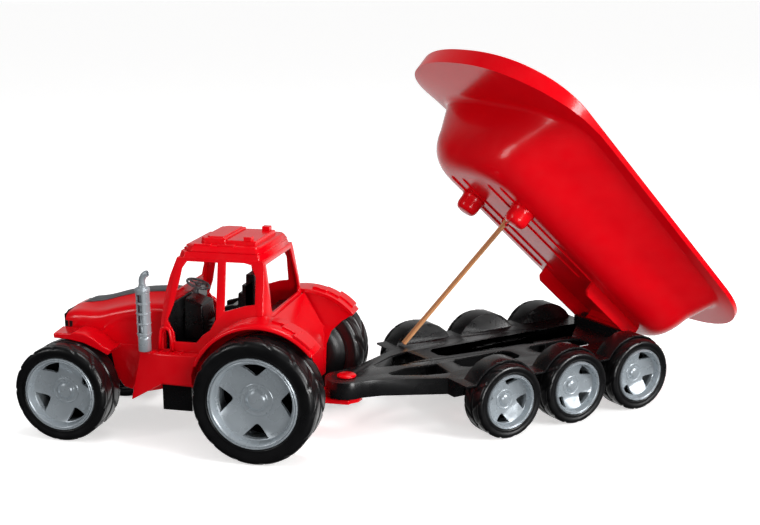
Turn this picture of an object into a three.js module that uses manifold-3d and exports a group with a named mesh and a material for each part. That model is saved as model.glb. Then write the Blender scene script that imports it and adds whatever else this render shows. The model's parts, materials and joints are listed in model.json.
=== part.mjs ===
// A toy tractor coupled to a three-axle tipping trailer, in millimetres.
//
// Tractor frame: origin on the ground under the rear axle, +X to the rear, +Y to the tractor's right, +Z up.
// Trailer frame: origin on the ground under the hitch pin, turned about the pin.
// Tub frame: origin on the tipping hinge, modelled level and then tipped back.

import * as THREE from 'three';
import { mergeVertices } from 'three/addons/utils/BufferGeometryUtils.js';
import Module from 'manifold-3d';

const wasm = await Module();
wasm.setup();

// ---------------------------------------------------------------- driving dimensions

const GAP = 0.35;
const WALL = 3;
const ROD_R = 3;
const BORE_R = 3.4;
const HUB_R = 10.2;
const degrees = THREE.MathUtils.degToRad;

const REAR_WHEEL = { x: 0, radius: 75, rim: 55, inner: 78, outer: 131, dish: 20, hub: 17, sides: 24 };
const FRONT_WHEEL = { x: -255, radius: 60, rim: 45.5, inner: 60, outer: 108, dish: 17, hub: 14, sides: 24 };
const TRAILER_WHEEL = { radius: 47, rim: 34.5, inner: 84.5, outer: 121.5, dish: 12, hub: 10, sides: 20 };
const TRAILER_AXLES = [163, 267, 371];

const CAB_HALF = 75;
const CAB_LEAN = 0.18;
const CAB_LEAN_FROM = 128;
const CAB_TOP = 227.5;
const CAB_FLOOR_Z = 112;
const CORNER_CUT = 11;
const HOUSING_HALF = 71.6;
const STEERING = { x: -113, z: 181, radius: 15, tilt: degrees(20) };

const HITCH_X = 78;
const HITCH_TURN = degrees(43.5);
const PIN_R = 5.5;
const PIN_HOLE_R = 6.3;

const DECK_TOP = 73;
const DECK_PLATE = 2.5;
const SKIRT_BOTTOM = 52;
const DECK_HALF = 82;
const DECK_REAR = 418;
const FENDER_HALF = 107.4;
const ARCH_OUTER = 50.5;
const ARCH_INNER = 48.2;

const HINGE = { x: 412, z: 80 };
const TUB_TILT = degrees(42.3);
const TUB_FLOOR = 12.7;
const FOOT_BOTTOM = -9.6;
const TUB_HALF = 162;
const RIM_HEIGHT = 100.85;
const RIM_SLOPE = 0.0499;

const PROP_PIVOT = new THREE.Vector3(-226.5, 18, 8.5);
const PROP_FOOT = new THREE.Vector3(127.6, 74.9, 77);
const PROP_STOWED = new THREE.Vector3(-1, -0.18, -0.015).normalize();
const PROP_WIDTH = 5;
const PROP_THICK = 5.5;

// ---------------------------------------------------------------- materials

const plastic = (color, roughness = 0.25, metalness = 0) => ({ color, roughness, metalness });
const RED = plastic(0xe10014, 0.2);
const BLACK = plastic(0x17171a, 0.25);
const TYRE = plastic(0x141416, 0.4);
const SILVER = plastic(0xa7abb2, 0.35, 0.5);
const GREY = plastic(0x6f747c, 0.35, 0.3);
const STEEL = plastic(0x9a9da3, 0.3, 0.9);
const WOOD = plastic(0xbe7848, 0.7);

// ---------------------------------------------------------------- solids

// A closed triangle mesh: shared corners merged, slivers dropped and every face turned outwards.
function closedMesh(geometry) {
  const bare = geometry.clone();
  bare.deleteAttribute('normal');
  bare.deleteAttribute('uv');
  const merged = mergeVertices(bare, 1e-4);
  const triangles = [];
  for (let i = 0; i < merged.index.count; i += 3) {
    const [a, b, c] = [0, 1, 2].map((k) => merged.index.getX(i + k));
    if (a !== b && b !== c && c !== a) {
      triangles.push(a, b, c);
    }
  }
  merged.setIndex(triangles);
  return signedVolume(merged) < 0 ? flipped(merged) : merged;
}

function signedVolume(geometry) {
  const [a, b, c] = [new THREE.Vector3(), new THREE.Vector3(), new THREE.Vector3()];
  const corners = geometry.getAttribute('position');
  let total = 0;
  for (let i = 0; i < geometry.index.count; i += 3) {
    a.fromBufferAttribute(corners, geometry.index.getX(i));
    b.fromBufferAttribute(corners, geometry.index.getX(i + 1));
    c.fromBufferAttribute(corners, geometry.index.getX(i + 2));
    total += a.dot(b.cross(c)) / 6;
  }
  return total;
}

function flipped(geometry) {
  const index = geometry.index;
  for (let i = 0; i < index.count; i += 3) {
    const kept = index.getX(i + 1);
    index.setX(i + 1, index.getX(i + 2));
    index.setX(i + 2, kept);
  }
  return geometry;
}

function solid(geometry) {
  const mesh = closedMesh(geometry);
  const vertProperties = new Float32Array(mesh.getAttribute('position').array);
  const triVerts = new Uint32Array(mesh.index.array);
  return new wasm.Manifold(new wasm.Mesh({ numProp: 3, vertProperties, triVerts }));
}

function surface(manifold) {
  const mesh = manifold.getMesh();
  const geometry = new THREE.BufferGeometry();
  geometry.setAttribute('position', new THREE.BufferAttribute(mesh.vertProperties, 3));
  geometry.setIndex(new THREE.BufferAttribute(mesh.triVerts, 1));
  return geometry;
}

const union = (first, ...rest) => rest.reduce((body, piece) => body.add(piece), first);
const without = (first, ...cuts) => cuts.reduce((body, piece) => body.subtract(piece), first);

// ---------------------------------------------------------------- shapes

function shapeOf(points, holes) {
  const corners = (list) => list.map(([a, b]) => new THREE.Vector2(a, b));
  const shape = new THREE.Shape(corners(points));
  holes.forEach((hole) => shape.holes.push(new THREE.Path(corners(hole))));
  return shape;
}

function extruded(points, depth, holes = []) {
  return new THREE.ExtrudeGeometry(shapeOf(points, holes), { depth, bevelEnabled: false });
}

// An outline in X and Z, drawn out from y0 to y1.
function prismY(points, y0, y1, holes = []) {
  return solid(extruded(points, y1 - y0, holes).rotateX(Math.PI / 2).translate(0, y1, 0));
}

// An outline in X and Y, drawn up from z0 to z1.
function prismZ(points, z0, z1, holes = []) {
  return solid(extruded(points, z1 - z0, holes).translate(0, 0, z0));
}

// An outline in Y and Z, drawn out from x0 to x1.
function prismX(points, x0, x1) {
  const turn = new THREE.Matrix4().makeBasis(
    new THREE.Vector3(0, 1, 0),
    new THREE.Vector3(0, 0, 1),
    new THREE.Vector3(1, 0, 0),
  );
  return solid(extruded(points, x1 - x0).applyMatrix4(turn).translate(x0, 0, 0));
}

function box(x0, x1, y0, y1, z0, z1) {
  const geometry = new THREE.BoxGeometry(x1 - x0, y1 - y0, z1 - z0);
  return solid(geometry.translate((x0 + x1) / 2, (y0 + y1) / 2, (z0 + z1) / 2));
}

// A profile of radius and position along Y, turned about the Y axis.
function latheY(profile, sides) {
  return new THREE.LatheGeometry(profile.map(([r, y]) => new THREE.Vector2(r, y)), sides);
}

function latheZ(profile, sides) {
  return latheY(profile, sides).rotateX(Math.PI / 2);
}

function rodY(radius, y0, y1, x = 0, z = 0, sides = 16) {
  return solid(latheY([[0, y0], [radius, y0], [radius, y1], [0, y1]], sides).translate(x, 0, z));
}

function rodZ(radius, z0, z1, x = 0, y = 0, sides = 20) {
  return solid(latheZ([[0, z0], [radius, z0], [radius, z1], [0, z1]], sides).translate(x, y, 0));
}

const mirrored = (points) => points.map(([x, y]) => [x, -y]);

// Points on an arc about (cx, cz), from one angle to another in degrees.
function arc(cx, cz, radius, from, to, steps) {
  return Array.from({ length: steps + 1 }, (_, i) => {
    const angle = degrees(from + ((to - from) * i) / steps);
    return [cx + radius * Math.cos(angle), cz + radius * Math.sin(angle)];
  });
}

// A solid skinned over rings that all hold the same number of points, in order along the solid.
function skinned(rings) {
  const count = rings[0].length;
  const corners = rings.flat();
  const faces = [];
  for (let ring = 0; ring + 1 < rings.length; ring += 1) {
    for (let i = 0; i < count; i += 1) {
      const [a, b] = [ring * count + i, ring * count + ((i + 1) % count)];
      faces.push(a, b, b + count, a, b + count, a + count);
    }
  }
  [0, rings.length - 1].forEach((ring, end) => {
    const middle = corners.length;
    corners.push(average(rings[ring]));
    for (let i = 0; i < count; i += 1) {
      const [a, b] = [ring * count + i, ring * count + ((i + 1) % count)];
      faces.push(...(end === 0 ? [b, a, middle] : [a, b, middle]));
    }
  });
  const geometry = new THREE.BufferGeometry();
  geometry.setAttribute('position', new THREE.Float32BufferAttribute(corners.flat(), 3));
  geometry.setIndex(faces);
  return geometry;
}

function average(points) {
  return [0, 1, 2].map((k) => points.reduce((sum, point) => sum + point[k], 0) / points.length);
}

// The same solid with everything above the sills leaning in towards the middle, as the cab's walls do.
function leaning(manifold) {
  const lower = manifold.intersect(box(-200, 200, -200, 200, 0, CAB_LEAN_FROM));
  const geometry = surface(manifold.intersect(box(-200, 200, -200, 200, CAB_LEAN_FROM, 300)));
  const corners = geometry.getAttribute('position');
  for (let i = 0; i < corners.count; i += 1) {
    const lean = CAB_LEAN * (corners.getZ(i) - CAB_LEAN_FROM);
    corners.setY(i, (corners.getY(i) * (CAB_HALF - lean)) / CAB_HALF);
  }
  return lower.add(solid(geometry));
}

// A block through the whole cab, as wide as the cab with a little room on each side.
function cabBlock(outline, room) {
  return leaning(prismY(outline, -CAB_HALF - room, CAB_HALF + room));
}

// ---------------------------------------------------------------- scene graph

const tractor = new THREE.Group();
const trailer = new THREE.Group();
const tub = new THREE.Group();

function place(parent, name, shape, look) {
  const geometry = shape.isBufferGeometry ? shape : surface(shape);
  geometry.computeVertexNormals();
  const mesh = new THREE.Mesh(geometry, new THREE.MeshStandardMaterial(look));
  mesh.name = name;
  parent.add(mesh);
  return mesh;
}

// ---------------------------------------------------------------- wheels

// A tyre whose inner side closes down to the hub behind the rim.
function tyreShape(wheel) {
  const { radius, rim, inner, outer, sides } = wheel;
  const bore = rim + GAP;
  const hubHole = HUB_R + GAP;
  const profile = [
    [hubHole, inner + 1.5],
    [bore - 2, inner + 1.5],
    [radius - 7, inner],
    [radius, inner + 7],
    [radius, outer - 7],
    [radius - 7, outer],
    [bore, outer - 1],
    [bore, inner + 4],
    [hubHole, inner + 4],
    [hubHole, inner + 1.5],
  ];
  return closedMesh(latheY(profile, sides));
}

// A dished disc with a domed cap outside and a blind bore for the axle inside.
function rimShape(wheel) {
  const { rim, inner, outer, dish, hub, sides } = wheel;
  const floor = outer - dish;
  const cap = outer - dish * 0.35;
  const profile = [
    [0, cap],
    [hub * 0.8, cap],
    [hub, floor],
    [rim - 5, outer],
    [rim, outer],
    [rim, inner + 5],
    [rim - 3, inner + 5],
    [rim - 8, outer - 11],
    [HUB_R, floor - 4],
    [HUB_R, inner + 1],
    [BORE_R, inner + 1],
    [BORE_R, floor - 1],
    [0, floor - 1],
  ];
  return closedMesh(latheY(profile, sides));
}

const axleEnd = (wheel) => wheel.outer - wheel.dish - 1 - GAP;

function placeWheel(parent, name, wheel, x, side) {
  [['tyre', tyreShape, TYRE], ['rim', rimShape, SILVER]].forEach(([piece, shape, look]) => {
    const mesh = place(parent, `${name}_${piece}`, shape(wheel), look);
    mesh.position.set(x, 0, wheel.radius);
    mesh.rotation.z = side > 0 ? 0 : Math.PI;
  });
}

function placeAxle(parent, name, wheel, x) {
  const reach = axleEnd(wheel);
  place(parent, name, rodY(ROD_R, -reach, reach, x, wheel.radius), STEEL);
}

// ---------------------------------------------------------------- cab

const CAB_OUTLINE = [
  [-135, 72], [-96, 71], [-84, 60], [-84, 50], [29, 50], [29, 116], [5, 126], [3, 160],
  [0.3, 183], [-7.4, CAB_TOP], [-115.8, CAB_TOP], [-124, 205.5], [-128.6, 187.5], [-134, 150],
];
const CAB_INSIDE = [
  [-140, 40], [40, 40], [40, 157], [0, 157], [-2.8, 183], [-10.6, CAB_TOP + 3],
  [-112, CAB_TOP + 3], [-121, 205], [-125.6, 187], [-131, 150], [-131, 112], [-140, 112],
];
const DOOR = [
  [-115, 127], [-88, 127], [-79.6, 137], [-71, 143], [-64, 156], [-64, 223],
  [-103, 223], [-109, 214.5], [-113, 195], [-119, 170], [-126, 152], [-117, 138],
];
const SIDE_ARCH = [[-130, 117], [-122, 117], [-122, 135], [-124, 140], [-128, 140], [-130, 135]];
const SIDE_WINDOW = [
  [-53.6, 166], [-40, 170], [-28, 174], [-15.6, 176], [-15.6, 208], [-22, 222], [-30, 224], [-53.6, 224],
];

// Wedges off the cab's upright rear corners, above the sills, each cutting so far along the two walls.
function rearCorners(half, back, cut) {
  const corner = [
    [back - cut, half + 1], [back - cut, half], [back, half - cut],
    [back + 20, half - cut], [back + 20, half + 1],
  ];
  return union(prismZ(corner, CAB_LEAN_FROM, 240), prismZ(mirrored(corner), CAB_LEAN_FROM, 240));
}

function cabShell() {
  const room = prismY(CAB_INSIDE, WALL - CAB_HALF, CAB_HALF - WALL);
  const inside = without(room, rearCorners(CAB_HALF - WALL, 2, CORNER_CUT - 1.8));
  const doorway = prismY(DOOR, -90, 90);
  const window = prismY(SIDE_WINDOW, -90, 90);
  const arch = prismY(SIDE_ARCH, -90, 90);
  const windscreen = prismX([[-62, 180], [62, 180], [66, 190], [66, 222], [-66, 222], [-66, 190]], -140, -100);
  const rearWindow = prismX([[-58, 164], [58, 164], [62, 170], [62, 221], [-62, 221], [-62, 170]], -20, 10);
  const axleHole = rodY(5, -90, 90, 0, REAR_WHEEL.radius);
  const block = without(prismY(CAB_OUTLINE, -CAB_HALF, CAB_HALF), rearCorners(CAB_HALF, 5, CORNER_CUT));
  return leaning(without(block, inside, doorway, window, arch, windscreen, rearWindow, axleHole));
}

// The roof steps up twice, keeps a shallow tray between its rails and ends in two lamp blocks.
function cabRoof() {
  const base = CAB_TOP + GAP;
  const brimRight = [[-8, 50], [-14, 56], [-112, 56], [-119, 44]];
  const stepRight = [[-12, 46], [-18, 51], [-104, 51], [-110, 46]];
  const brim = prismZ([...brimRight, ...mirrored(brimRight).reverse()], base, 235);
  const step = prismZ([...stepRight, ...mirrored(stepRight).reverse()], 235, 243);
  const rails = [-1, 1].map((side) => {
    const rail = [[-104, 242], [-99, 246], [-76, 249], [-61, 247], [-58, 243.6], [-39.5, 243.6], [-39, 250.5],
      [-29, 250.5], [-23.6, 242]];
    return side < 0 ? prismY(rail, -50, -40) : prismY(rail, 40, 50);
  });
  const crown = prismZ([[-92, -30], [-20, -30], [-12, -20], [-12, 20], [-20, 30], [-92, 30]], 242, 251);
  const hollow = prismZ([[-106, -44], [-20, -44], [-20, 44], [-106, 44]], base - 1, 240);
  return union(without(union(brim, step), hollow), ...rails, crown);
}

function cabFloor() {
  const reach = CAB_HALF - WALL - GAP;
  const plate = box(-130.5, 5, -reach, reach, CAB_FLOOR_Z + GAP, CAB_FLOOR_Z + 3);
  const ribs = [-60, -50, 50, 60].map((y) => box(-98, -90, y - 2, y + 2, CAB_FLOOR_Z + 2, CAB_FLOOR_Z + 6));
  return union(plate, ...ribs);
}

function rearHousing() {
  return prismY([[6, 50], [28.6, 50], [28.6, 115], [6, 156]], -HOUSING_HALF, HOUSING_HALF);
}

const DASH_TOP = 167;
const DASH_X = [-125, -100];
const DASH_HALF = 24;

function dashboard() {
  const floor = CAB_FLOOR_Z + 3 + GAP;
  const fall = (DASH_X[1] - DASH_X[0]) * Math.tan(STEERING.tilt);
  const side = [[DASH_X[0], floor], [DASH_X[1], floor], [DASH_X[1], DASH_TOP - fall], [DASH_X[0], DASH_TOP]];
  return prismY(side, -DASH_HALF, DASH_HALF);
}

// The steering column and wheel share one axis, which leans back towards the driver.
function onSteeringAxis(geometry) {
  return geometry.rotateY(STEERING.tilt).translate(STEERING.x, 0, STEERING.z);
}

function steeringColumn() {
  const along = DASH_TOP - (STEERING.x - DASH_X[0]) * Math.tan(STEERING.tilt) - STEERING.z;
  const foot = along * Math.cos(STEERING.tilt) + GAP;
  const profile = [[0, foot], [4, foot], [3, -2 - GAP], [0, -2 - GAP]];
  return closedMesh(onSteeringAxis(latheZ(profile, 12)));
}

function steeringWheel() {
  const ring = new THREE.TorusGeometry(STEERING.radius - 1.6, 1.6, 6, 24);
  const spoke = (turn) => new THREE.BoxGeometry(STEERING.radius - 2, 3.6, 2)
    .translate(STEERING.radius / 2 - 1, 0, 0)
    .rotateZ(turn);
  const hub = latheZ([[0, -2], [4, -2], [4, 2], [0, 2]], 12);
  const pieces = [ring, hub, spoke(Math.PI), spoke(Math.PI / 3), spoke(-Math.PI / 3)];
  return union(...pieces.map((piece) => solid(onSteeringAxis(piece))));
}

function driverSeat() {
  const floor = CAB_FLOOR_Z + 3 + GAP;
  const side = [
    [-84, floor], [-30, floor], [-31, 164], [-30.5, 206], [-41, 204], [-46, 190], [-52, 177],
    [-54, 163], [-67, 161], [-86, 156],
  ];
  return prismY(side, -24, 24);
}

// ---------------------------------------------------------------- nose

// Stations along the nose: x, bottom, top and half width.
// The lid is flat under the grey panel and falls away to each side.
const HOOD = [
  [-275, 112, 150.5, 44], [-262, 106, 154, 46], [-236, 100, 158, 47], [-208, 100, 166, 48],
  [-181, 98, 172, 49], [-150, 98, 177.5, 50], [-124, 98, 179, 52],
];
const PANEL_HALF = 12;
const PANEL_DEEP = 2.7;

function hoodSection([x, bottom, top, half], inset) {
  const [lid, side] = [top - PANEL_DEEP - inset, half - inset];
  const right = [
    [side, bottom], [side, lid - 17], [side - 4, lid - 11], [side - 13, lid - 8], [26, lid - 4.5], [PANEL_HALF, lid],
  ];
  const left = right.map(([y, z]) => [-y, z]).reverse();
  return [...right, ...left].map(([y, z]) => [x, y, z]);
}

function hoodShell() {
  const outer = solid(skinned(HOOD.map((station) => hoodSection(station, 0))));
  const inner = HOOD.map((station, i) => {
    const [x, bottom, top, half] = station;
    const start = i === 0 ? WALL : 0;
    return hoodSection([x + start + (i === HOOD.length - 1 ? 5 : 0), bottom - 20, top, half], WALL);
  });
  const shell = without(outer, solid(skinned(inner)));
  const cab = cabBlock(CAB_OUTLINE.map(([x, z]) => [x - GAP, z]), GAP);
  return without(shell, cab);
}

function hoodTopPanel() {
  const rings = HOOD.map(([x, , top], i) => {
    const ends = (i === 0 ? 12 : 0) - (i === HOOD.length - 1 ? 7 : 0);
    const [low, high] = [top - PANEL_DEEP + GAP, top - 0.6];
    const half = i === 0 ? PANEL_HALF - 3 : PANEL_HALF;
    return [[half, low], [half, high], [half / 2, high + 1.4], [-half / 2, high + 1.4], [-half, high], [-half, low]]
      .map(([y, z]) => [x + ends, y, z + (i === 0 ? 3.1 : 0)]);
  });
  return closedMesh(skinned(rings));
}

function frontGrille() {
  const outline = [[-38, 120], [38, 120], [38, 143], [30, 146], [-30, 146], [-38, 143]];
  return prismX(outline, -279, -275 - GAP);
}

// ---------------------------------------------------------------- tractor body

function chassis() {
  const beam = box(-266, 5.5, -24, 24, 48, CAB_FLOOR_Z - GAP);
  const frontBridge = box(-264, -246, -54, 54, 52, 68);
  const underbox = box(-136, -98, -70, 70, 38, 70);
  const rearBridge = box(-9, 5.5, -70, 70, 66, 84);
  const bores = [FRONT_WHEEL, REAR_WHEEL].map((wheel) => rodY(BORE_R, -90, 90, wheel.x, wheel.radius));
  return without(union(beam, frontBridge, underbox, rearBridge), ...bores);
}

function towBar() {
  const plate = [[10, -22], [86, -22], ...arc(HITCH_X, 0, 20, -60, 60, 4), [86, 22], [10, 22]];
  return without(prismZ(plate, 44, 50 - GAP), rodZ(PIN_R + GAP, 40, 60, HITCH_X, 0));
}

function hitchPin() {
  const cap = DECK_TOP + 0.6;
  const profile = [[0, 40], [PIN_R, 40], [PIN_R, cap], [12, cap], [12, cap + 2], [10, cap + 3.4], [0, cap + 3.4]];
  return closedMesh(latheZ(profile, 20).translate(HITCH_X, 0, 0));
}

const MUDGUARD = [
  [-278, 131], [-250, 134], [-226, 134], [-213, 127], [-204, 119], [-199, 113],
  [-208, 106], [-214, 110], [-234, 118.5], [-254, 121.5], [-278, 122],
];

function frontMudguard(side) {
  const wide = HOOD.map(([x, bottom, top, half]) => hoodSection([x, bottom - 20, top, half + GAP], 0));
  const nose = solid(skinned(wide));
  const guard = side < 0 ? prismY(MUDGUARD, -78, -42) : prismY(MUDGUARD, 42, 78);
  return without(guard, nose, box(-279, -275 + GAP, -60, 60, 100, 140));
}

const STEP = [
  [-156, 115.5], [-82, 115.5], [-83.5, 107], [-88, 92], [-88, 78], [-125, 79], [-169.5, 56],
];

function sideStep(side) {
  const near = CAB_HALF + GAP;
  return side < 0 ? prismY(STEP, -92, -near) : prismY(STEP, near, 92);
}

// A rear fender is a band round the tyre that follows the leaning cab wall, with a stepped plate at the back
// and a thin wall beside the tyre behind the cab.
function rearFender(side) {
  const band = (inner, outer, from, to, steps) => [
    ...arc(0, REAR_WHEEL.radius, outer, from, to, steps),
    ...arc(0, REAR_WHEEL.radius, inner, to, from, steps),
  ];
  const across = (outline, y0, y1) => (side < 0 ? prismY(outline, -y1, -y0) : prismY(outline, y0, y1));
  const guard = across(band(84, 89, 157, 40, 13), 55, 108);
  const plate = across(band(88, 92, 96, 46, 6), 80, 104);
  const wallEdge = [[6, 50], [29, 50], [31, 90], [38, 108], [52, 122]];
  const wall = across([...wallEdge, ...arc(0, REAR_WHEEL.radius, 86.5, 40.5, 94, 7), [6, 150]], 70, 77.3);
  const reach = [[-140, 40], [110, 40], [110, 230], [-140, 230]];
  const housing = box(-1, 80, -CAB_HALF - GAP, CAB_HALF + GAP, 40, 170);
  return without(union(guard, plate, wall), cabBlock(reach, GAP), housing);
}

const EXHAUST = { x: -150.5, y: -83, foot: 115.5, top: 206 };

function exhaustStack() {
  const { x, y, foot, top } = EXHAUST;
  const profile = [
    [0, foot + GAP], [6.6, foot + GAP], [6.6, foot + 8], [8, foot + 9], [8, 187], [8.8, 190],
    [8.8, 194], [5.2, 195], [4.7, 198], [0, 198],
  ];
  const stack = solid(latheZ(profile, 16).translate(x, y, 0));
  const bend = new THREE.CatmullRomCurve3([
    new THREE.Vector3(x, y, 196),
    new THREE.Vector3(x, y, 202),
    new THREE.Vector3(x + 2.5, y, top + 1),
    new THREE.Vector3(x + 8, y, top + 6),
  ]);
  const section = new THREE.Shape(arc(0, 0, 4.7, 0, 324, 9).map(([a, b]) => new THREE.Vector2(a, b)));
  const pipe = solid(new THREE.ExtrudeGeometry(section, { steps: 5, extrudePath: bend }));
  return union(stack, pipe);
}

// ---------------------------------------------------------------- trailer chassis

const DECK_OUTLINE = [
  ...arc(0, 0, 27, 75, 285, 10), [32, -32], [105, -68], [105, -DECK_HALF], [DECK_REAR, -DECK_HALF],
  [DECK_REAR, DECK_HALF], [105, DECK_HALF], [105, 68], [32, 32],
];
const DECK_INSIDE = [
  ...arc(0, 0, 24.5, 75, 285, 10), [31, -29], [102.5, -64], [107, -69], [107, -79.5], [DECK_REAR - 2.5, -79.5],
  [DECK_REAR - 2.5, 79.5], [107, 79.5], [107, 69], [102.5, 64], [31, 29],
];
const FRONT_HOLE = [[51, 14], [52, 24], [90, 46], [119, 53], [124, 12], [80, 7]];
const DECK_HOLES = [
  FRONT_HOLE,
  [[154, 9], [229, 9], [237, 17], [237, 37], [229, 45], [154, 45], [146, 37], [146, 17]],
  [[274, 10], [344, 10], [352, 18], [352, 38], [344, 46], [274, 46], [266, 38], [266, 18]],
];

// The wavy edge over the wheels: flat between the arches, at one height above their lower face.
function waveLine(radius, flat) {
  const rise = flat - TRAILER_WHEEL.radius;
  const start = THREE.MathUtils.radToDeg(Math.asin(rise / radius));
  const arches = TRAILER_AXLES.flatMap((x) => arc(x, TRAILER_WHEEL.radius, radius, 180 - start, start, 8));
  return [[105, flat], ...arches, [DECK_REAR, flat]];
}

function fenderStrip(side) {
  const top = waveLine(ARCH_OUTER, DECK_TOP);
  const under = waveLine(ARCH_INNER, DECK_TOP - 2.4).reverse();
  const outline = [...top, ...under];
  return side < 0 ? prismY(outline, -FENDER_HALF, -81) : prismY(outline, 81, FENDER_HALF);
}

// The plate between the deck and the wheels, with a lobe down to each axle.
function wheelPlate(side) {
  const lobes = [...TRAILER_AXLES].reverse().flatMap((x) => [[x + 12, 54], [x + 8, 38], [x - 8, 38], [x - 12, 54]]);
  const outline = [...waveLine(ARCH_OUTER - 0.5, DECK_TOP - 0.5), [DECK_REAR, 54], ...lobes, [105, 54]];
  return side < 0 ? prismY(outline, -83.3, -80.8) : prismY(outline, 80.8, 83.3);
}

function hingeEar(side) {
  const outline = [[HINGE.x - 9, 60], [HINGE.x - 8, HINGE.z], ...arc(HINGE.x, HINGE.z, 8, 180, 0, 6), [DECK_REAR, 60]];
  return side < 0 ? prismY(outline, -46, -38) : prismY(outline, 38, 46);
}

function trailerFrame() {
  const deck = without(
    prismZ(DECK_OUTLINE, SKIRT_BOTTOM, DECK_TOP),
    prismZ(DECK_INSIDE, SKIRT_BOTTOM - 10, DECK_TOP - DECK_PLATE),
  );
  const boss = rodZ(11, SKIRT_BOTTOM, DECK_TOP - 1);
  const crossRibs = [126, 142, 241, 262, 300, 394].map((x) => box(x - 1, x + 1, -81, 81, 56, DECK_TOP - 1));
  const spine = box(9, 410, -1.2, 1.2, 56, DECK_TOP - 1);
  const stop = box(HINGE.x - 18, HINGE.x - 12, -46, 46, DECK_TOP - 1, 86);
  const sides = [-1, 1].flatMap((side) => [fenderStrip(side), wheelPlate(side), hingeEar(side)]);
  const body = union(deck, boss, ...crossRibs, spine, stop, ...sides);
  const holes = DECK_HOLES.flatMap((hole) => [hole, mirrored(hole)]);
  const cuts = holes.map((hole) => prismZ(hole, SKIRT_BOTTOM - 5, DECK_TOP + 5));
  const bores = TRAILER_AXLES.map((x) => rodY(BORE_R, -90, 90, x, TRAILER_WHEEL.radius));
  return without(body, ...cuts, ...bores, rodY(BORE_R, -60, 60, HINGE.x, HINGE.z), rodZ(PIN_HOLE_R, 40, 90));
}

// ---------------------------------------------------------------- tub

const COLUMNS = 28;
const smooth = (value) => THREE.MathUtils.smoothstep(value, 0, 1);

// A plan outline with straight sides and rounded ends, one half towards the front (-X) and one to the rear.
function planRing({ front, rear, half, frontLength, rearLength, power }) {
  const end = (middle, length, from) => Array.from({ length: COLUMNS + 1 }, (_, i) => {
    const angle = from + (Math.PI * i) / COLUMNS;
    const along = Math.abs(Math.cos(angle)) ** (2 / power);
    const across = Math.sign(Math.sin(angle)) * Math.abs(Math.sin(angle)) ** (2 / power);
    return [middle + Math.sign(Math.cos(angle)) * length * along, half * across];
  });
  return [...end(-rear, rearLength, -Math.PI / 2), ...end(-front, frontLength, Math.PI / 2)];
}

const rimTop = (x) => RIM_HEIGHT - RIM_SLOPE * x;
const bandDepth = (x) => 7 + 15 * smooth((-x - 300) / 130);

function tubRings() {
  const floorEdge = { front: 292, rear: 20, frontLength: 70, rearLength: 58, power: 3.2 };
  const wallPlan = { front: 295, rear: 28, frontLength: 68.5, rearLength: 69, power: 2.5 };
  const rimPlan = { front: 342, rear: 13, frontLength: 103, rearLength: 119, power: 2.3 };
  const level = (plan, height) => planRing(plan).map(([x, y]) => [x, y, height(x)]);
  const floorRing = level({ ...floorEdge, half: 66, frontLength: 30, rearLength: 36 }, () => TUB_FLOOR);
  const bilge = level({ ...floorEdge, half: 79, frontLength: 53, rearLength: 51 }, () => TUB_FLOOR + 6);
  const fillet = level({ ...floorEdge, half: 89, frontLength: 66, rearLength: 58 }, () => TUB_FLOOR + 19);
  const low = level({ ...wallPlan, half: 112 }, () => 55);
  const crease = level({ ...rimPlan, half: TUB_HALF }, (x) => rimTop(x) - bandDepth(x));
  const knee = level({ ...wallPlan, half: 144 }, (x) => rimTop(x) - bandDepth(x) - 5);
  const top = level({ ...rimPlan, half: TUB_HALF }, rimTop);
  const between = (from, to, t) => from.map((_, i) => [0, 1, 2].map((k) => from[i][k] + t * (to[i][k] - from[i][k])));
  const [under, over] = [between(low, knee, 0.84), between(knee, crease, 0.22)];
  const corner = between(knee, between(under, over, 0.5), 0.5);
  return [floorRing, bilge, fillet, low, under, corner, over, crease, top];
}

// The rings again, moved in by the wall thickness along the skin's own normals.
function insideRings(rings) {
  const skin = skinned(rings);
  const facing = signedVolume(skin) < 0 ? -1 : 1;
  skin.computeVertexNormals();
  const normals = skin.getAttribute('normal');
  const count = rings[0].length;
  const last = rings.length - 1;
  return rings.map((ring, row) => ring.map(([x, y, z], i) => {
    const normal = new THREE.Vector3().fromBufferAttribute(normals, row * count + i).multiplyScalar(-facing * WALL);
    if (row === 0) {
      return [x + normal.x / 2, y + normal.y / 2, z + WALL];
    }
    if (row === last) {
      const flat = normal.setZ(0).setLength(WALL);
      return [x + flat.x, y + flat.y, z];
    }
    return [x + normal.x, y + normal.y, z + normal.z];
  }));
}

// Axis, swing plane and down directions of the prop stick's pivot, in the tub frame.
function propFrame() {
  const lowered = PROP_FOOT.clone().sub(new THREE.Vector3(HINGE.x, 0, HINGE.z));
  lowered.applyAxisAngle(new THREE.Vector3(0, 1, 0), -TUB_TILT).sub(PROP_PIVOT);
  const length = lowered.length();
  const along = lowered.normalize();
  const axis = along.clone().cross(PROP_STOWED).normalize();
  return { along, axis, length };
}

function orientedAtPivot(geometry, along, axis) {
  const turn = new THREE.Matrix4().makeBasis(along, axis, along.clone().cross(axis));
  return geometry.applyMatrix4(turn).translate(...PROP_PIVOT.toArray());
}

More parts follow.
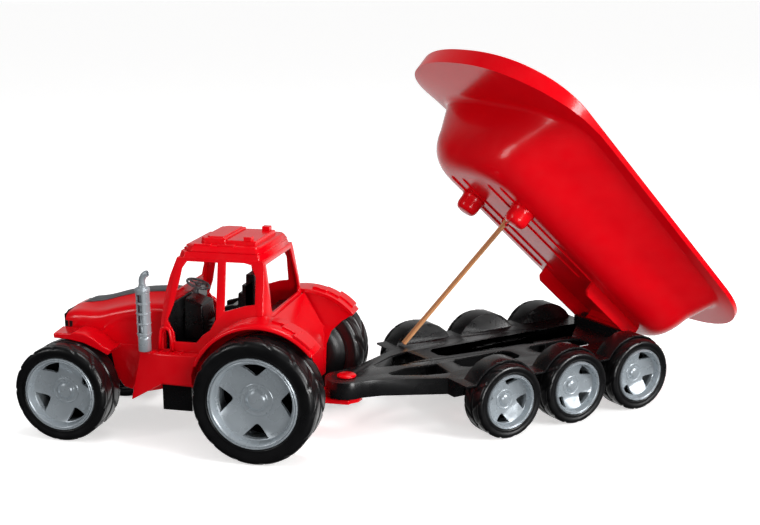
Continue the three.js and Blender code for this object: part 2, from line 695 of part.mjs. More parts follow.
function tipperTub() {
  const outer = tubRings();
  const shell = solid(skinned([...outer, ...insideRings(outer).reverse()]));
  const feet = [-48, 48].map((y) => rodZ(14, FOOT_BOTTOM, TUB_FLOOR + 1, -272, y, 18));
  const ribs = [-30, 30].map((y) => box(-350, -110, y - 1.2, y + 1.2, TUB_FLOOR - 4, TUB_FLOOR + 1));
  const cheeks = [-1, 1].map((side) => box(-105, 8, side * 50 - 2, side * 50 + 2, 3.6, TUB_FLOOR + 1));
  const crossWall = box(-105, -101, -52, 52, 3.6, TUB_FLOOR + 1);
  const barrel = rodY(6.5, -37, 37, 0, 0, 16);
  const neck = box(-4, 4, -37, 37, 0, TUB_FLOOR + 1);
  const { axis } = propFrame();
  const rearwards = new THREE.Vector3(1, 0, 0).addScaledVector(axis, -axis.x).normalize();
  const lugs = [-1, 1].map((side) => {
    const lug = new THREE.BoxGeometry(7, 2, 9.4).translate(0, side * (PROP_THICK / 2 + 1.4), 1.3);
    return solid(orientedAtPivot(lug, rearwards, axis));
  });
  const body = union(shell, ...feet, ...ribs, ...cheeks, crossWall, barrel, neck, ...lugs);
  const pinHole = solid(orientedAtPivot(latheY([[0, -7], [1.5, -7], [1.5, 7], [0, 7]], 12), rearwards, axis));
  return without(body, pinHole, rodY(BORE_R, -60, 60));
}

function propStick() {
  const { along, axis, length } = propFrame();
  const half = PROP_WIDTH / 2;
  const eye = arc(0, 0, 3.4, 50, 310, 8);
  const hole = arc(0, 0, 1.5, 0, 330, 11);
  const outline = [[length, -half], [length, half], ...eye];
  const bar = extruded(outline, PROP_THICK, [hole]).rotateX(Math.PI / 2).translate(0, PROP_THICK / 2, 0);
  return closedMesh(orientedAtPivot(bar, along, axis));
}

function propPivotPin() {
  const { along, axis } = propFrame();
  return closedMesh(orientedAtPivot(latheY([[0, -5.6], [1.2, -5.6], [1.2, 5.6], [0, 5.6]], 12), along, axis));
}

// ---------------------------------------------------------------- assembly

const SIDES = [['left', -1], ['right', 1]];

place(tractor, 'cab_shell', cabShell(), RED);
place(tractor, 'cab_roof', cabRoof(), RED);
place(tractor, 'cab_floor', cabFloor(), BLACK);
place(tractor, 'rear_housing', rearHousing(), RED);
place(tractor, 'dashboard', dashboard(), BLACK);
place(tractor, 'steering_column', steeringColumn(), GREY);
place(tractor, 'steering_wheel', steeringWheel(), GREY);
place(tractor, 'driver_seat', driverSeat(), BLACK);
place(tractor, 'hood_shell', hoodShell(), RED);
place(tractor, 'hood_top_panel', hoodTopPanel(), GREY);
place(tractor, 'front_grille', frontGrille(), BLACK);
place(tractor, 'chassis', chassis(), BLACK);
place(tractor, 'tow_bar', towBar(), RED);
place(tractor, 'hitch_pin', hitchPin(), RED);
place(tractor, 'exhaust_stack', exhaustStack(), SILVER);
placeAxle(tractor, 'front_axle', FRONT_WHEEL, FRONT_WHEEL.x);
placeAxle(tractor, 'rear_axle', REAR_WHEEL, REAR_WHEEL.x);
SIDES.forEach(([name, side]) => {
  place(tractor, `front_mudguard_${name}`, frontMudguard(side), RED);
  place(tractor, `side_step_${name}`, sideStep(side), RED);
  place(tractor, `rear_fender_${name}`, rearFender(side), RED);
  placeWheel(tractor, `front_wheel_${name}`, FRONT_WHEEL, FRONT_WHEEL.x, side);
  placeWheel(tractor, `rear_wheel_${name}`, REAR_WHEEL, REAR_WHEEL.x, side);
});

place(trailer, 'trailer_frame', trailerFrame(), BLACK);
place(trailer, 'tub_hinge_pin', rodY(ROD_R, -47, 47, HINGE.x, HINGE.z), STEEL);
TRAILER_AXLES.forEach((x, i) => {
  placeAxle(trailer, `trailer_axle_${i + 1}`, TRAILER_WHEEL, x);
  SIDES.forEach(([name, side]) => placeWheel(trailer, `trailer_wheel_${i + 1}_${name}`, TRAILER_WHEEL, x, side));
});

place(tub, 'tipper_tub', tipperTub(), RED);
place(tub, 'prop_stick', propStick(), WOOD);
place(tub, 'prop_pivot_pin', propPivotPin(), STEEL);

tub.position.set(HINGE.x, 0, HINGE.z);
tub.rotation.y = TUB_TILT;
trailer.add(tub);
trailer.position.x = HITCH_X;
trailer.rotation.z = HITCH_TURN;

// The whole object stands on z = 0 with its box centred on the origin.
const train = new THREE.Group();
train.add(tractor, trailer);
const bounds = new THREE.Box3().setFromObject(train, true);
const middle = bounds.getCenter(new THREE.Vector3());
train.position.set(-middle.x, -middle.y, -bounds.min.z);

const toyTractor = new THREE.Group();
toyTractor.add(train);

export default toyTractor;
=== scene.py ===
# The looks of a toy tractor and its tipping trailer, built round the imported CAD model.
#
# Every piece is modelled in millimetres in the frame of the body that it belongs to, and placed from the
# model's own joints. Tractor frame: origin on the ground under the rear axle, +X to the rear. Trailer frame:
# origin on the ground under the hitch pin. Tub frame: origin on the tipping hinge, modelled level.

import json
import math

import bmesh
import bpy
from mathutils import Matrix, Vector


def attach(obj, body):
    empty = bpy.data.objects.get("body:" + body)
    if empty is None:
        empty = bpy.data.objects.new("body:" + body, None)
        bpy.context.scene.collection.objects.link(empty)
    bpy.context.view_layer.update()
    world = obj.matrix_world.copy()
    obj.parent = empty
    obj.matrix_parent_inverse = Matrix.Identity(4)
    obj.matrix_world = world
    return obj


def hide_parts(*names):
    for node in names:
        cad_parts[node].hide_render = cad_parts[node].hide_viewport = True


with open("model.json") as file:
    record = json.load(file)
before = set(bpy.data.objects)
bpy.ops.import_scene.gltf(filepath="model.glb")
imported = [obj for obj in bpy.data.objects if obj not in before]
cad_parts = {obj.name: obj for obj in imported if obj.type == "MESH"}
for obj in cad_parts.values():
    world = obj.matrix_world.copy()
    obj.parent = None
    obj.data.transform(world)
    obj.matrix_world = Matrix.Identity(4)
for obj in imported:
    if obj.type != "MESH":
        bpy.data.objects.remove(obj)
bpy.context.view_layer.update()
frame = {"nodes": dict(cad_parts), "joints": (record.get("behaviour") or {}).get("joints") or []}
joints = {joint["name"]: joint for joint in frame["joints"]}

# ---------------------------------------------------------------- driving dimensions

MM = 0.001
SIDES = ((-1, "left"), (1, "right"))
CAMERA = {"place": (451.07, -1385.14, 545.72), "yaw": -0.234, "pitch": 0.225, "roll": 0.003, "lens": 57.65}

HITCH_X = 78
TUB_TILT = math.radians(42.3)

HUB = 10.2
REAR = {"radius": 75, "rim": 55, "half": 26.5, "dish": 20, "lugs": 14}
FRONT = {"radius": 60, "rim": 45.5, "half": 24, "dish": 20, "lugs": 13}
SMALL = {"radius": 47, "rim": 34.5, "half": 18.5, "dish": 16, "lugs": 13}

CAB_HALF = 75
CAB_LEAN = 0.18
CAB_LEAN_FROM = 128
CAB_FLOOR = 115.4
STEERING = {"x": -113, "z": 181, "radius": 14.2, "tilt": math.radians(20)}
STEP_BEND = -126
EXHAUST = {"x": -150.5, "y": -83, "foot": 116}
REAR_AXLE_Z = REAR["radius"]
FRONT_AXLE_X = -255

TRAILER_AXLES = (163, 267, 371)
HINGE_X = 412
HINGE_Z = 80
PROP_FOOT = (127.6, 74.9, 77)

TUB_FLOOR = 12.7
TUB_WALL = 3
TUB_HALF = 162
TUB_FOOT = {"x": -266, "y": 54}
TUB_CHEEK_Y = 50

# ---------------------------------------------------------------- frames

hitch = Vector(joints["hitch_turn"]["pos_m"])
hinge = Vector(joints["tub_tilt"]["pos_m"])
hinge_axis = Vector(joints["tub_tilt"]["axis"])
trailer_turn = Matrix.Rotation(math.atan2(-hinge_axis.x, hinge_axis.y), 4, "Z")

TRACTOR = Matrix.Translation((hitch.x - HITCH_X * MM, hitch.y, 0))
TRAILER = Matrix.Translation((hitch.x, hitch.y, 0)) @ trailer_turn
TUB = Matrix.Translation(hinge) @ trailer_turn @ Matrix.Rotation(TUB_TILT, 4, "Y")

# ---------------------------------------------------------------- camera and stage


def added(name, data):
    """A new object in the scene."""
    obj = bpy.data.objects.new(name, data)
    bpy.context.scene.collection.objects.link(obj)
    return obj


def make_camera():
    """A long lens in front of the tractor's left side, looking slightly down."""
    yaw, pitch, roll = CAMERA["yaw"], CAMERA["pitch"], CAMERA["roll"]
    forward = Vector((math.sin(yaw) * math.cos(pitch), math.cos(yaw) * math.cos(pitch), -math.sin(pitch)))
    level = Vector((math.cos(yaw), -math.sin(yaw), 0))
    down = forward.cross(level)
    right = math.cos(roll) * level + math.sin(roll) * down
    up = forward.cross(right) * -1
    data = bpy.data.cameras.new("camera")
    data.sensor_width = 36
    data.lens = CAMERA["lens"]
    camera = added("camera", data)
    camera.matrix_world = Matrix((right, up, -forward)).transposed().to_4x4()
    camera.location = TRACTOR @ (Vector(CAMERA["place"]) * MM)
    bpy.context.scene.camera = camera


def area_light(name, place, target, size, power):
    """A soft box facing a point, in metres and watts."""
    data = bpy.data.lights.new(name, "AREA")
    data.shape = "RECTANGLE"
    data.size, data.size_y = size
    data.energy = power
    light = added(name, data)
    light.location = place
    light.rotation_euler = (Vector(target) - Vector(place)).to_track_quat("-Z", "Y").to_euler()


def link_value(tree, kind, operation, *values):
    """A math or map-range node whose inputs are numbers or other nodes' outputs."""
    node = tree.nodes.new(kind)
    if operation:
        node.operation = operation
    for socket, value in zip(node.inputs, values):
        if hasattr(value, "is_linked"):
            tree.links.new(value, socket)
        else:
            socket.default_value = value
    return node.outputs[0]


def make_world():
    """A white backdrop that lights the toy evenly; only its part beyond the toy shows in reflections."""
    world = bpy.data.worlds.new("studio")
    world.use_nodes = True
    tree = world.node_tree
    nodes, links = tree.nodes, tree.links
    path = nodes.new("ShaderNodeLightPath")
    direction = nodes.new("ShaderNodeSeparateXYZ")
    links.new(nodes.new("ShaderNodeTexCoord").outputs["Generated"], direction.inputs[0])
    behind = link_value(tree, "ShaderNodeMapRange", "", direction.outputs["Y"], 0.35, 0.8, 0.0, 1.0)
    below = link_value(tree, "ShaderNodeMapRange", "", direction.outputs["Z"], 0.1, -0.15, 0.4, 0.95)
    mirrored = link_value(tree, "ShaderNodeMath", "MULTIPLY", behind, below)
    shown = nodes["Background"].outputs[0]
    nodes["Background"].inputs["Color"].default_value = (0.98, 0.99, 1, 1)
    nodes["Background"].inputs["Strength"].default_value = 0.5
    # Glossy rays see the dimmed backdrop, and the camera sees plain white.
    for ray, strength in (("Is Glossy Ray", mirrored), ("Is Camera Ray", None)):
        sky = nodes.new("ShaderNodeBackground")
        sky.inputs["Color"].default_value = (1, 1, 1, 1)
        if strength:
            links.new(strength, sky.inputs["Strength"])
        mix = nodes.new("ShaderNodeMixShader")
        links.new(path.outputs[ray], mix.inputs[0])
        links.new(shown, mix.inputs[1])
        links.new(sky.outputs[0], mix.inputs[2])
        shown = mix.outputs[0]
    links.new(shown, nodes["World Output"].inputs["Surface"])
    bpy.context.scene.world = world


def make_stage():
    """Soft boxes over a wide bright floor that is neither mirrored in the toy nor lights it from below."""
    area_light("right", (2.5, -0.9, 1.1), (0.15, 0, 0.2), (0.9, 1.3), 60)
    area_light("tub", (1.1, -1.7, 0.2), (0.25, 0, 0.34), (0.7, 0.5), 13)
    area_light("left", (-2.0, -1.9, 1.5), (-0.1, 0, 0.15), (0.5, 1.2), 12)
    area_light("top", (0.3, 0.2, 2.4), (0, 0, 0), (1.1, 0.9), 20)
    make_world()
    bm = bmesh.new()
    bmesh.ops.create_circle(bm, cap_ends=True, segments=64, radius=40)
    mesh = bpy.data.meshes.new("floor")
    bm.to_mesh(mesh)
    bm.free()
    floor = added("floor", mesh)
    white = moulded("floor_white", (0.9, 0.9, 0.9), 0.02, (0.6, 0.7), specular=0.1, grain=0.0)
    glow = white.node_tree.nodes["Principled BSDF"]
    glow.inputs["Emission Color"].default_value = (1, 0.99, 0.98, 1)
    glow.inputs["Emission Strength"].default_value = 0.55
    mesh.materials.append(white)
    floor.visible_glossy = False
    floor.visible_diffuse = False


# ---------------------------------------------------------------- materials


def material_base(name, metallic, coat, specular):
    """A new material and its shader, with the settings that every look has."""
    material = bpy.data.materials.new(name)
    material.use_nodes = True
    shader = material.node_tree.nodes["Principled BSDF"]
    shader.inputs["Metallic"].default_value = metallic
    shader.inputs["Coat Weight"].default_value = coat
    shader.inputs["Coat Roughness"].default_value = 0.06
    shader.inputs["Specular IOR Level"].default_value = specular
    return material, shader


def noise(material, scale, detail=2.0, stretch=(1, 1, 1)):
    """A noise that sits still on the piece, stretched by so much along each axis."""
    nodes, links = material.node_tree.nodes, material.node_tree.links
    place = nodes.new("ShaderNodeTexCoord")
    mapping = nodes.new("ShaderNodeMapping")
    mapping.inputs["Scale"].default_value = stretch
    texture = nodes.new("ShaderNodeTexNoise")
    texture.inputs["Scale"].default_value = scale
    texture.inputs["Detail"].default_value = detail
    links.new(place.outputs["Object"], mapping.inputs["Vector"])
    links.new(mapping.outputs["Vector"], texture.inputs["Vector"])
    return texture.outputs["Fac"]


def ramp(material, value, stops):
    """A colour for each value, blended between stops of position and colour."""
    nodes, links = material.node_tree.nodes, material.node_tree.links
    node = nodes.new("ShaderNodeValToRGB")
    elements = node.color_ramp.elements
    while len(elements) < len(stops):
        elements.new(0.5)
    for element, (position, colour) in zip(elements, stops):
        element.position = position
        element.color = (*colour, 1)
    links.new(value, node.inputs["Fac"])
    return node.outputs["Color"]


def spread(material, value, low, high):
    """The middle of the noise's range, mapped from low to high."""
    return link_value(material.node_tree, "ShaderNodeMapRange", "", value, 0.3, 0.7, low, high)


def bumped(material, shader, layers):
    """Bumps laid one on another: a height, how strong it is, and how deep in metres."""
    nodes, links = material.node_tree.nodes, material.node_tree.links
    below = None
    for height, strength, depth in layers:
        bump = nodes.new("ShaderNodeBump")
        bump.inputs["Strength"].default_value = strength
        bump.inputs["Distance"].default_value = depth
        links.new(height, bump.inputs["Height"])
        if below:
            links.new(below, bump.inputs["Normal"])
        below = bump.outputs["Normal"]
    links.new(below, shader.inputs["Normal"])


def scaled(colour, factor):
    return tuple(channel * factor for channel in colour)


def moulded(name, colour, swirl, roughness, metallic=0.0, coat=0.0, specular=0.5, grain=0.05, ripple=0.04):
    """Moulded plastic: flow swirls in the colour, uneven gloss, a fine skin and faint sink marks."""
    material, shader = material_base(name, metallic, coat, specular)
    links = material.node_tree.links
    flow = noise(material, 9, 3, (1, 1, 2.5))
    tint = ramp(material, flow, [(0.3, scaled(colour, 1 - swirl)), (0.7, scaled(colour, 1 + swirl))])
    links.new(tint, shader.inputs["Base Color"])
    links.new(spread(material, noise(material, 60, 4), *roughness), shader.inputs["Roughness"])
    if grain:
        sink_marks = (noise(material, 26, 1), ripple, 0.0012)
        skin = (noise(material, 1500, 2), grain, 0.0001)
        bumped(material, shader, [sink_marks, skin])
    return material


def drawn_steel(name):
    """Bright rod with fine marks drawn round it."""
    material, shader = material_base(name, 1.0, 0.0, 0.5)
    links = material.node_tree.links
    streaks = noise(material, 90, 4, (1, 14, 1))
    tint = [(0.35, (0.42, 0.43, 0.45)), (0.65, (0.66, 0.67, 0.69))]
    links.new(ramp(material, streaks, tint), shader.inputs["Base Color"])
    links.new(spread(material, streaks, 0.22, 0.4), shader.inputs["Roughness"])
    bumped(material, shader, [(streaks, 0.15, 0.0001)])
    return material


def stick_wood(name):
    """Plain varnished wood, its grain along the stick."""
    material, shader = material_base(name, 0.0, 0.15, 0.4)
    links = material.node_tree.links
    grain = noise(material, 60, 6, (0.12, 4, 4))
    tint = [(0.3, (0.33, 0.13, 0.045)), (0.5, (0.56, 0.25, 0.1)), (0.7, (0.72, 0.37, 0.17))]
    links.new(ramp(material, grain, tint), shader.inputs["Base Color"])
    links.new(spread(material, grain, 0.38, 0.6), shader.inputs["Roughness"])
    bumped(material, shader, [(grain, 0.3, 0.0003)])
    return material


LOOKS = {
    "red_gloss": moulded(
        "red_gloss", (0.7, 0.0002, 0.005), 0.05, (0.16, 0.24), coat=0.1, specular=0.4, ripple=0.025
    ),
    "black_gloss": moulded(
        "black_gloss", (0.006, 0.006, 0.0065), 0.25, (0.24, 0.32), coat=0.15, ripple=0.015
    ),
    "black_tyre": moulded("black_tyre", (0.0045, 0.0045, 0.005), 0.25, (0.26, 0.4), coat=0.05, grain=0.12),
    "silver_plastic": moulded(
        "silver_plastic", (0.36, 0.4, 0.43), 0.07, (0.22, 0.32), metallic=0.35, specular=0.6, grain=0.1
    ),
    "grey_plastic": moulded("grey_plastic", (0.105, 0.108, 0.115), 0.1, (0.28, 0.4), metallic=0.2),
    "steel_rod": drawn_steel("steel_rod"),
    "wood_stick": stick_wood("wood_stick"),
}

# ---------------------------------------------------------------- mesh building, in millimetres


def ring_skin(bm, rings, looped=False, caps=False):
    """Quads over rings of points that all hold the same number."""
    rows = [[bm.verts.new(point) for point in ring] for ring in rings]
    count = len(rows[0])
    pairs = list(zip(rows, rows[1:])) + ([(rows[-1], rows[0])] if looped else [])
    for low, high in pairs:
        for i in range(count):
            j = (i + 1) % count
            bm.faces.new((low[i], low[j], high[j], high[i]))
    if caps:
        bm.faces.new(rows[0][::-1])
        bm.faces.new(rows[-1])
    return bm


def turned(bm, profile, sides, axis="Z", at=(0, 0, 0), looped=False):
    """A profile of radius and height turned about an axis through a point."""
    rings = []
    for radius, height in profile:
        ring = []
        for i in range(sides):
            angle = 2 * math.pi * i / sides
            a, b = radius * math.cos(angle), radius * math.sin(angle)
            ring.append(Vector((a, b, height) if axis == "Z" else (b, height, a)) + Vector(at))
        rings.append(ring)
    return ring_skin(bm, rings, looped)


def box(bm, x0, x1, y0, y1, z0, z1):
    """A block between pairs of limits on the three axes."""
    corners = [(x0, y0), (x1, y0), (x1, y1), (x0, y1)]
    return ring_skin(bm, [[(x, y, z) for x, y in corners] for z in (z0, z1)], caps=True)


def slab(bm, outline, y0, y1):
    """An outline in X and Z drawn out from y0 to y1."""
    return ring_skin(bm, [[(x, y, z) for x, z in outline] for y in (y0, y1)], caps=True)


def tube(bm, path, radii, sides=16, caps=True):
    """A round tube along a path, with one radius or one for each point."""
    points = [Vector(point) for point in path]
    radii = radii if hasattr(radii, "__len__") else [radii] * len(points)
    normal, rings = None, []
    for i, (point, radius) in enumerate(zip(points, radii)):
        ahead = (points[min(i + 1, len(points) - 1)] - points[max(i - 1, 0)]).normalized()
        normal = ahead.orthogonal() if normal is None else normal - ahead * normal.dot(ahead)
        normal.normalize()
        side = ahead.cross(normal)
        angles = [2 * math.pi * k / sides for k in range(sides)]
        rings.append([point + radius * (math.cos(a) * normal + math.sin(a) * side) for a in angles])
    return ring_skin(bm, rings, caps=caps)


def arc(cx, cz, radius, start, end, steps):
    """Points round a centre in X and Z, from one angle in degrees to another."""
    angles = [math.radians(start + (end - start) * i / steps) for i in range(steps + 1)]
    return [(cx + radius * math.cos(a), cz + radius * math.sin(a)) for a in angles]


def smooth(value):
    """An eased step from 0 to 1 as the value goes from 0 to 1."""
    value = min(1.0, max(0.0, value))
    return value * value * (3 - 2 * value)


def to_mesh(name, bm):
    """The finished mesh in metres, its corners merged and its faces outwards."""
    bmesh.ops.remove_doubles(bm, verts=bm.verts, dist=1e-3)
    bmesh.ops.recalc_face_normals(bm, faces=bm.faces)
    bmesh.ops.scale(bm, vec=(MM, MM, MM), verts=bm.verts)
    for face in bm.faces:
        face.smooth = True
    mesh = bpy.data.meshes.new(name)
    bm.to_mesh(mesh)
    bm.free()
    return mesh


def joined(bm, other):
    """The first mesh with all of the second one's faces added to it."""
    part = bpy.data.meshes.new("part")
    other.to_mesh(part)
    other.free()
    bm.from_mesh(part)
    bpy.data.meshes.remove(part)
    return bm


def carved(name, body, cutter):
    """The first mesh with the second one cut out of it."""
    labels = (f"{name}_a", f"{name}_b")
    pair = [added(label, to_mesh(label, bm)) for label, bm in zip(labels, (body, cutter))]
    modifier = pair[0].modifiers.new("cut", "BOOLEAN")
    modifier.object = pair[1]
    modifier.solver = "EXACT"
    graph = bpy.context.evaluated_depsgraph_get()
    mesh = bpy.data.meshes.new_from_object(pair[0].evaluated_get(graph))
    for each in pair:
        bpy.data.objects.remove(each)
    mesh.name = name
    return mesh


def piece(name, shape, place, body, look, stands_for=(), bevel=0.0, segments=3, angle=32, own_frame=False):
    """A finished piece riding its body, its edges rounded by so many millimetres.

    The mesh is moved into the row's frame, or keeps its own where it is shared or its grain follows its axes.
    """
    mesh = shape if isinstance(shape, bpy.types.Mesh) else to_mesh(name, shape)
    if not mesh.materials:
        mesh.materials.append(LOOKS[look])
    obj = added(name, mesh)
    if own_frame:
        obj.matrix_world = place
    else:
        mesh.transform(place)
    if bevel:
        modifier = obj.modifiers.new("edges", "BEVEL")
        modifier.width = bevel * MM
        modifier.segments = segments
        modifier.limit_method = "ANGLE"
        modifier.angle_limit = math.radians(angle)
        modifier.use_clamp_overlap = True
        modifier.harden_normals = True
        modifier.miter_outer = "MITER_ARC"
    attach(obj, body)
    if stands_for:
        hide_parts(*stands_for)
    return obj


def on_tractor(name, shape, look, stands_for=(), bevel=0.0, segments=3, angle=32):
    """A piece in the tractor's frame, riding the tractor."""
    return piece(name, shape, TRACTOR, "tractor", look, stands_for, bevel, segments, angle)


def on_tub(name, shape, stands_for=(), bevel=0.0, segments=3, angle=32):
    """A red piece in the tub's frame, riding the tub."""
    return piece(name, shape, TUB, "tub", "red_gloss", stands_for, bevel, segments, angle)


def cad_shape(node, place=TRACTOR):
    """A CAD node's shape in millimetres in a body's frame, with its flat faces joined up."""
    bm = bmesh.new()
    bm.from_mesh(frame["nodes"][node].data)
    bmesh.ops.transform(bm, matrix=Matrix.Scale(1000, 4) @ place.inverted(), verts=bm.verts)
    bmesh.ops.remove_doubles(bm, verts=bm.verts, dist=0.05)
    bmesh.ops.dissolve_limit(bm, angle_limit=math.radians(1.5), verts=bm.verts, edges=bm.edges)
    return bm


def softened(node, look, bevel, body="tractor", place=TRACTOR, segments=3, angle=32):
    """A CAD node's shape with its edges rounded."""
    return piece(f"{node}_soft", cad_shape(node, place), place, body, look, [node], bevel, segments, angle)


# ---------------------------------------------------------------- wheels

LUG_STEPS = 12
RIM_STEPS = 96
RIM_OPENINGS = 4
RIM_BOLTS = 8


def tyre_mesh(name, wheel):
    """A blown tyre: a plain sidewall with a bead line, a round shoulder and two rows of slanted tread blocks.

    Its inner side closes down to the hub, so the rim's openings look on to black.
    """
    radius, rim, half, lugs = (wheel[key] for key in ("radius", "rim", "half", "lugs"))
    shoulder, groove = 0.1 * radius, 0.028 * radius
    bore = rim + 0.35
    wall = [(bore, half - 3), (bore + 0.6, half - 1.2), (bore + 1.8, half - 0.6), (bore + 2.6, half - 1.1)]
    rise = radius - shoulder - bore - 4
    wall += [(bore + 4 + rise * t, half - 0.9 + 0.9 * math.sin(math.pi * 0.5 * t)) for t in (0, 0.35, 0.7)]
    corner = []
    for degrees in range(0, 91, 15):
        a = math.radians(degrees)
        corner.append((radius - shoulder + shoulder * math.sin(a), half - shoulder + shoulder * math.cos(a)))
    shares = (0.93, 0.86, 0.8, 0.74, 0.6, 0.45, 0.3, 0.16, 0.09, 0.05)
    across = [(radius, (half - shoulder) * t) for t in shares]
    outside = wall + corner + across
    profile = outside + [(radius, 0)] + [(r, -y) for r, y in reversed(outside)]
    steps = lugs * LUG_STEPS
    rings = []
    for r, y in profile:
        reach = abs(y) / half
        on_tread = smooth((r - (radius - shoulder * 0.55)) / (shoulder * 0.4))
        ring = []
        for i in range(steps):
            turn = i / LUG_STEPS + (0.5 if y < 0 else 0) + 0.8 * reach
            gap = abs((turn % 1) - 0.5)
            slot = smooth((gap - 0.41) / 0.05)
            middle = 1 - smooth((reach - 0.02) / 0.07)
            edge = smooth(1 - abs(reach - 0.66) / 0.05) * 0.55
            depth = groove * max(slot, middle, edge) * on_tread
            angle = 2 * math.pi * i / steps
            ring.append(((r - depth) * math.sin(angle), y, (r - depth) * math.cos(angle)))
        rings.append(ring)
    tyre = ring_skin(bmesh.new(), rings, looped=True)
    back = [(HUB + 0.35, 1.5 - half), (bore + 1, 1.5 - half), (bore + 1, 4 - half), (HUB + 0.35, 4 - half)]
    return to_mesh(name, turned(tyre, back, 72, "Y", looped=True))


def rim_mesh(name, wheel):
    """A deep bowl with a round outer ring, four broad petals between four openings, and a domed cap."""
    rim, half, dish = wheel["rim"], wheel["half"], wheel["dish"]
    # Shares of the rim's radius and of the dish's depth, from the middle out, then back in behind.
    bowl = [
        (0, 0.66), (0.05, 0.662), (0.1, 0.672), (0.15, 0.7), (0.19, 0.745), (0.22, 0.81), (0.24, 0.87),
        (0.255, 0.9), (0.29, 0.9), (0.32, 0.9), (0.335, 0.88), (0.355, 0.89), (0.37, 0.93), (0.42, 0.93),
        (0.5, 0.87), (0.6, 0.77), (0.7, 0.66), (0.78, 0.59), (0.82, 0.56), (0.85, 0.52), (0.87, 0.35),
        (0.885, 0.15), (0.9, 0.05), (0.915, 0.01), (0.93, 0), (0.942, 0.02), (0.948, 0.055), (0.955, 0.055),
        (0.961, 0.01), (0.975, 0), (0.99, 0.03), (1, 0.1),
    ]
    back = [
        (1, None), (0.94, None), (0.9, 0.9), (0.84, 0.85), (0.76, 0.9), (0.6, 1), (0.42, 1.05), (0.3, 1.05),
        (0, 1),
    ]
    rings = []
    for share, depth in bowl + back:
        ring = []
        for i in range(RIM_STEPS):
            angle = 2 * math.pi * i / RIM_STEPS
            dip = 0.5 + 0.5 * math.cos(RIM_OPENINGS * angle)
            sink = 0.14 * dip * smooth((share - 0.42) / 0.2) * smooth((0.84 - share) / 0.14)
            y = 5 - half if depth is None else half - dish * (depth + sink)
            ring.append((rim * share * math.sin(angle), y, rim * share * math.cos(angle)))
        rings.append(ring)
    body = ring_skin(bmesh.new(), rings)
    for i in range(RIM_BOLTS):
        angle = 2 * math.pi * (i + 0.5) / RIM_BOLTS
        circle = 0.295 * rim
        place = (circle * math.sin(angle), half - 0.9 * dish, circle * math.cos(angle))
        turned(body, [(0, 0.7), (0.5, 0.5), (0.7, 0), (0.7, -0.6), (0, -0.6)], 10, "Y", place)
    cutter = bmesh.new()
    corner_turns = (0.36, 0.3, 0.2, 0.1, 0, -0.1, -0.2, -0.3, -0.36)
    for opening in range(RIM_OPENINGS):
        spin = Matrix.Rotation(opening * 2 * math.pi / RIM_OPENINGS, 4, "Y")
        outline = [(-0.04, 0.545), (0, 0.53), (0.04, 0.545)]
        outline += [(0.83 * math.sin(a), 0.83 * math.cos(a)) for a in corner_turns]
        through = (half - dish * 1.6, half + 2)
        rings = [[spin @ Vector((rim * x, y, rim * z)) for x, z in outline] for y in through]
        ring_skin(cutter, rings, caps=True)
    disc = bmesh.new()
    disc.from_mesh(carved(name, body, cutter))
    bmesh.ops.scale(disc, vec=(1000, 1000, 1000), verts=disc.verts)
    hub = [(3.4, 1 - half), (HUB, 1 - half), (HUB, half - 0.97 * dish), (3.4, half - 0.97 * dish)]
    return to_mesh(name, turned(disc, hub, 32, "Y", looped=True))


def make_wheels():
    """Left and right wheels share their meshes, so each piece keeps its own frame."""
    straight = Matrix.Identity(4)
    kinds = [
        ("rear_wheel", REAR, straight, 0),
        ("front_wheel", FRONT, straight, 25),
        ("trailer_wheel_1", SMALL, trailer_turn, -12),
        ("trailer_wheel_2", SMALL, trailer_turn, -45),
        ("trailer_wheel_3", SMALL, trailer_turn, -30),
    ]
    meshes = {}
    for kind, wheel, turn, phase in kinds:
        size = wheel["radius"]
        if size not in meshes:
            meshes[size] = (tyre_mesh(f"tyre_{size}", wheel), rim_mesh(f"rim_{size}", wheel))
        tyre, rim = (mesh.copy() for mesh in meshes[size])
        for mesh in (tyre, rim):
            mesh.transform(Matrix.Rotation(math.radians(phase), 4, "Y"))
        for side in ("left", "right"):
            body = f"{kind}_{side}"
            facing = Matrix.Rotation(math.pi if side == "left" else 0, 4, "Z")
            place = Matrix.Translation(joints[f"{body}_spin"]["pos_m"]) @ turn @ facing
            of_tyre, of_rim = [f"{body}_tyre"], [f"{body}_rim"]
            piece(f"{body}_tread", tyre, place, body, "black_tyre", of_tyre, own_frame=True)
            piece(f"{body}_disc", rim, place, body, "silver_plastic", of_rim, 0.5, 2, 40, own_frame=True)


# ---------------------------------------------------------------- tub


def tub_plan(front, rear, half, front_length, rear_length, power, columns=56):
    """A plan outline with straight sides and rounded ends, one towards the front (-X) and one to the rear."""
    points = []
    for middle, length, start in ((-rear, rear_length, -0.5), (-front, front_length, 0.5)):
        for i in range(columns + 1):
            angle = math.pi * (start + i / columns)
            c, s = math.cos(angle), math.sin(angle)
            x = middle + math.copysign(length * abs(c) ** (2 / power), c)
            points.append(Vector((x, math.copysign(half * abs(s) ** (2 / power), s), 0)))
        if start < 0:
            points += [Vector((-rear - (front - rear) * k / 12, half, 0)) for k in range(1, 12)]
    points += [Vector((-front + (front - rear) * k / 12, -half, 0)) for k in range(1, 12)]
    return points


def rim_top(x):
    """The height of the rim's top edge, which rises towards the front."""
    return 100.85 - 0.0499 * x


def band_depth(x):
    """How far the band hangs down from the rim, deeper on the front visor."""
    return 7 + 15 * smooth((-x - 300) / 130)


def raised(plan, height):
    """The plan outline lifted to a height that depends on X."""
    return [Vector((p.x, p.y, height(p.x))) for p in plan]


def pulled(p, q, r, t):
    """The place at a share of the curve from the first value to the third, pulled towards the second."""
    return (1 - t) ** 2 * p + 2 * t * (1 - t) * q + t * t * r


def bent(a, b, c, shares):
    """Rings on the curve from the first ring to the third, pulled towards the second."""
    return [[pulled(p, q, r, t) for p, q, r in zip(a, b, c)] for t in shares]


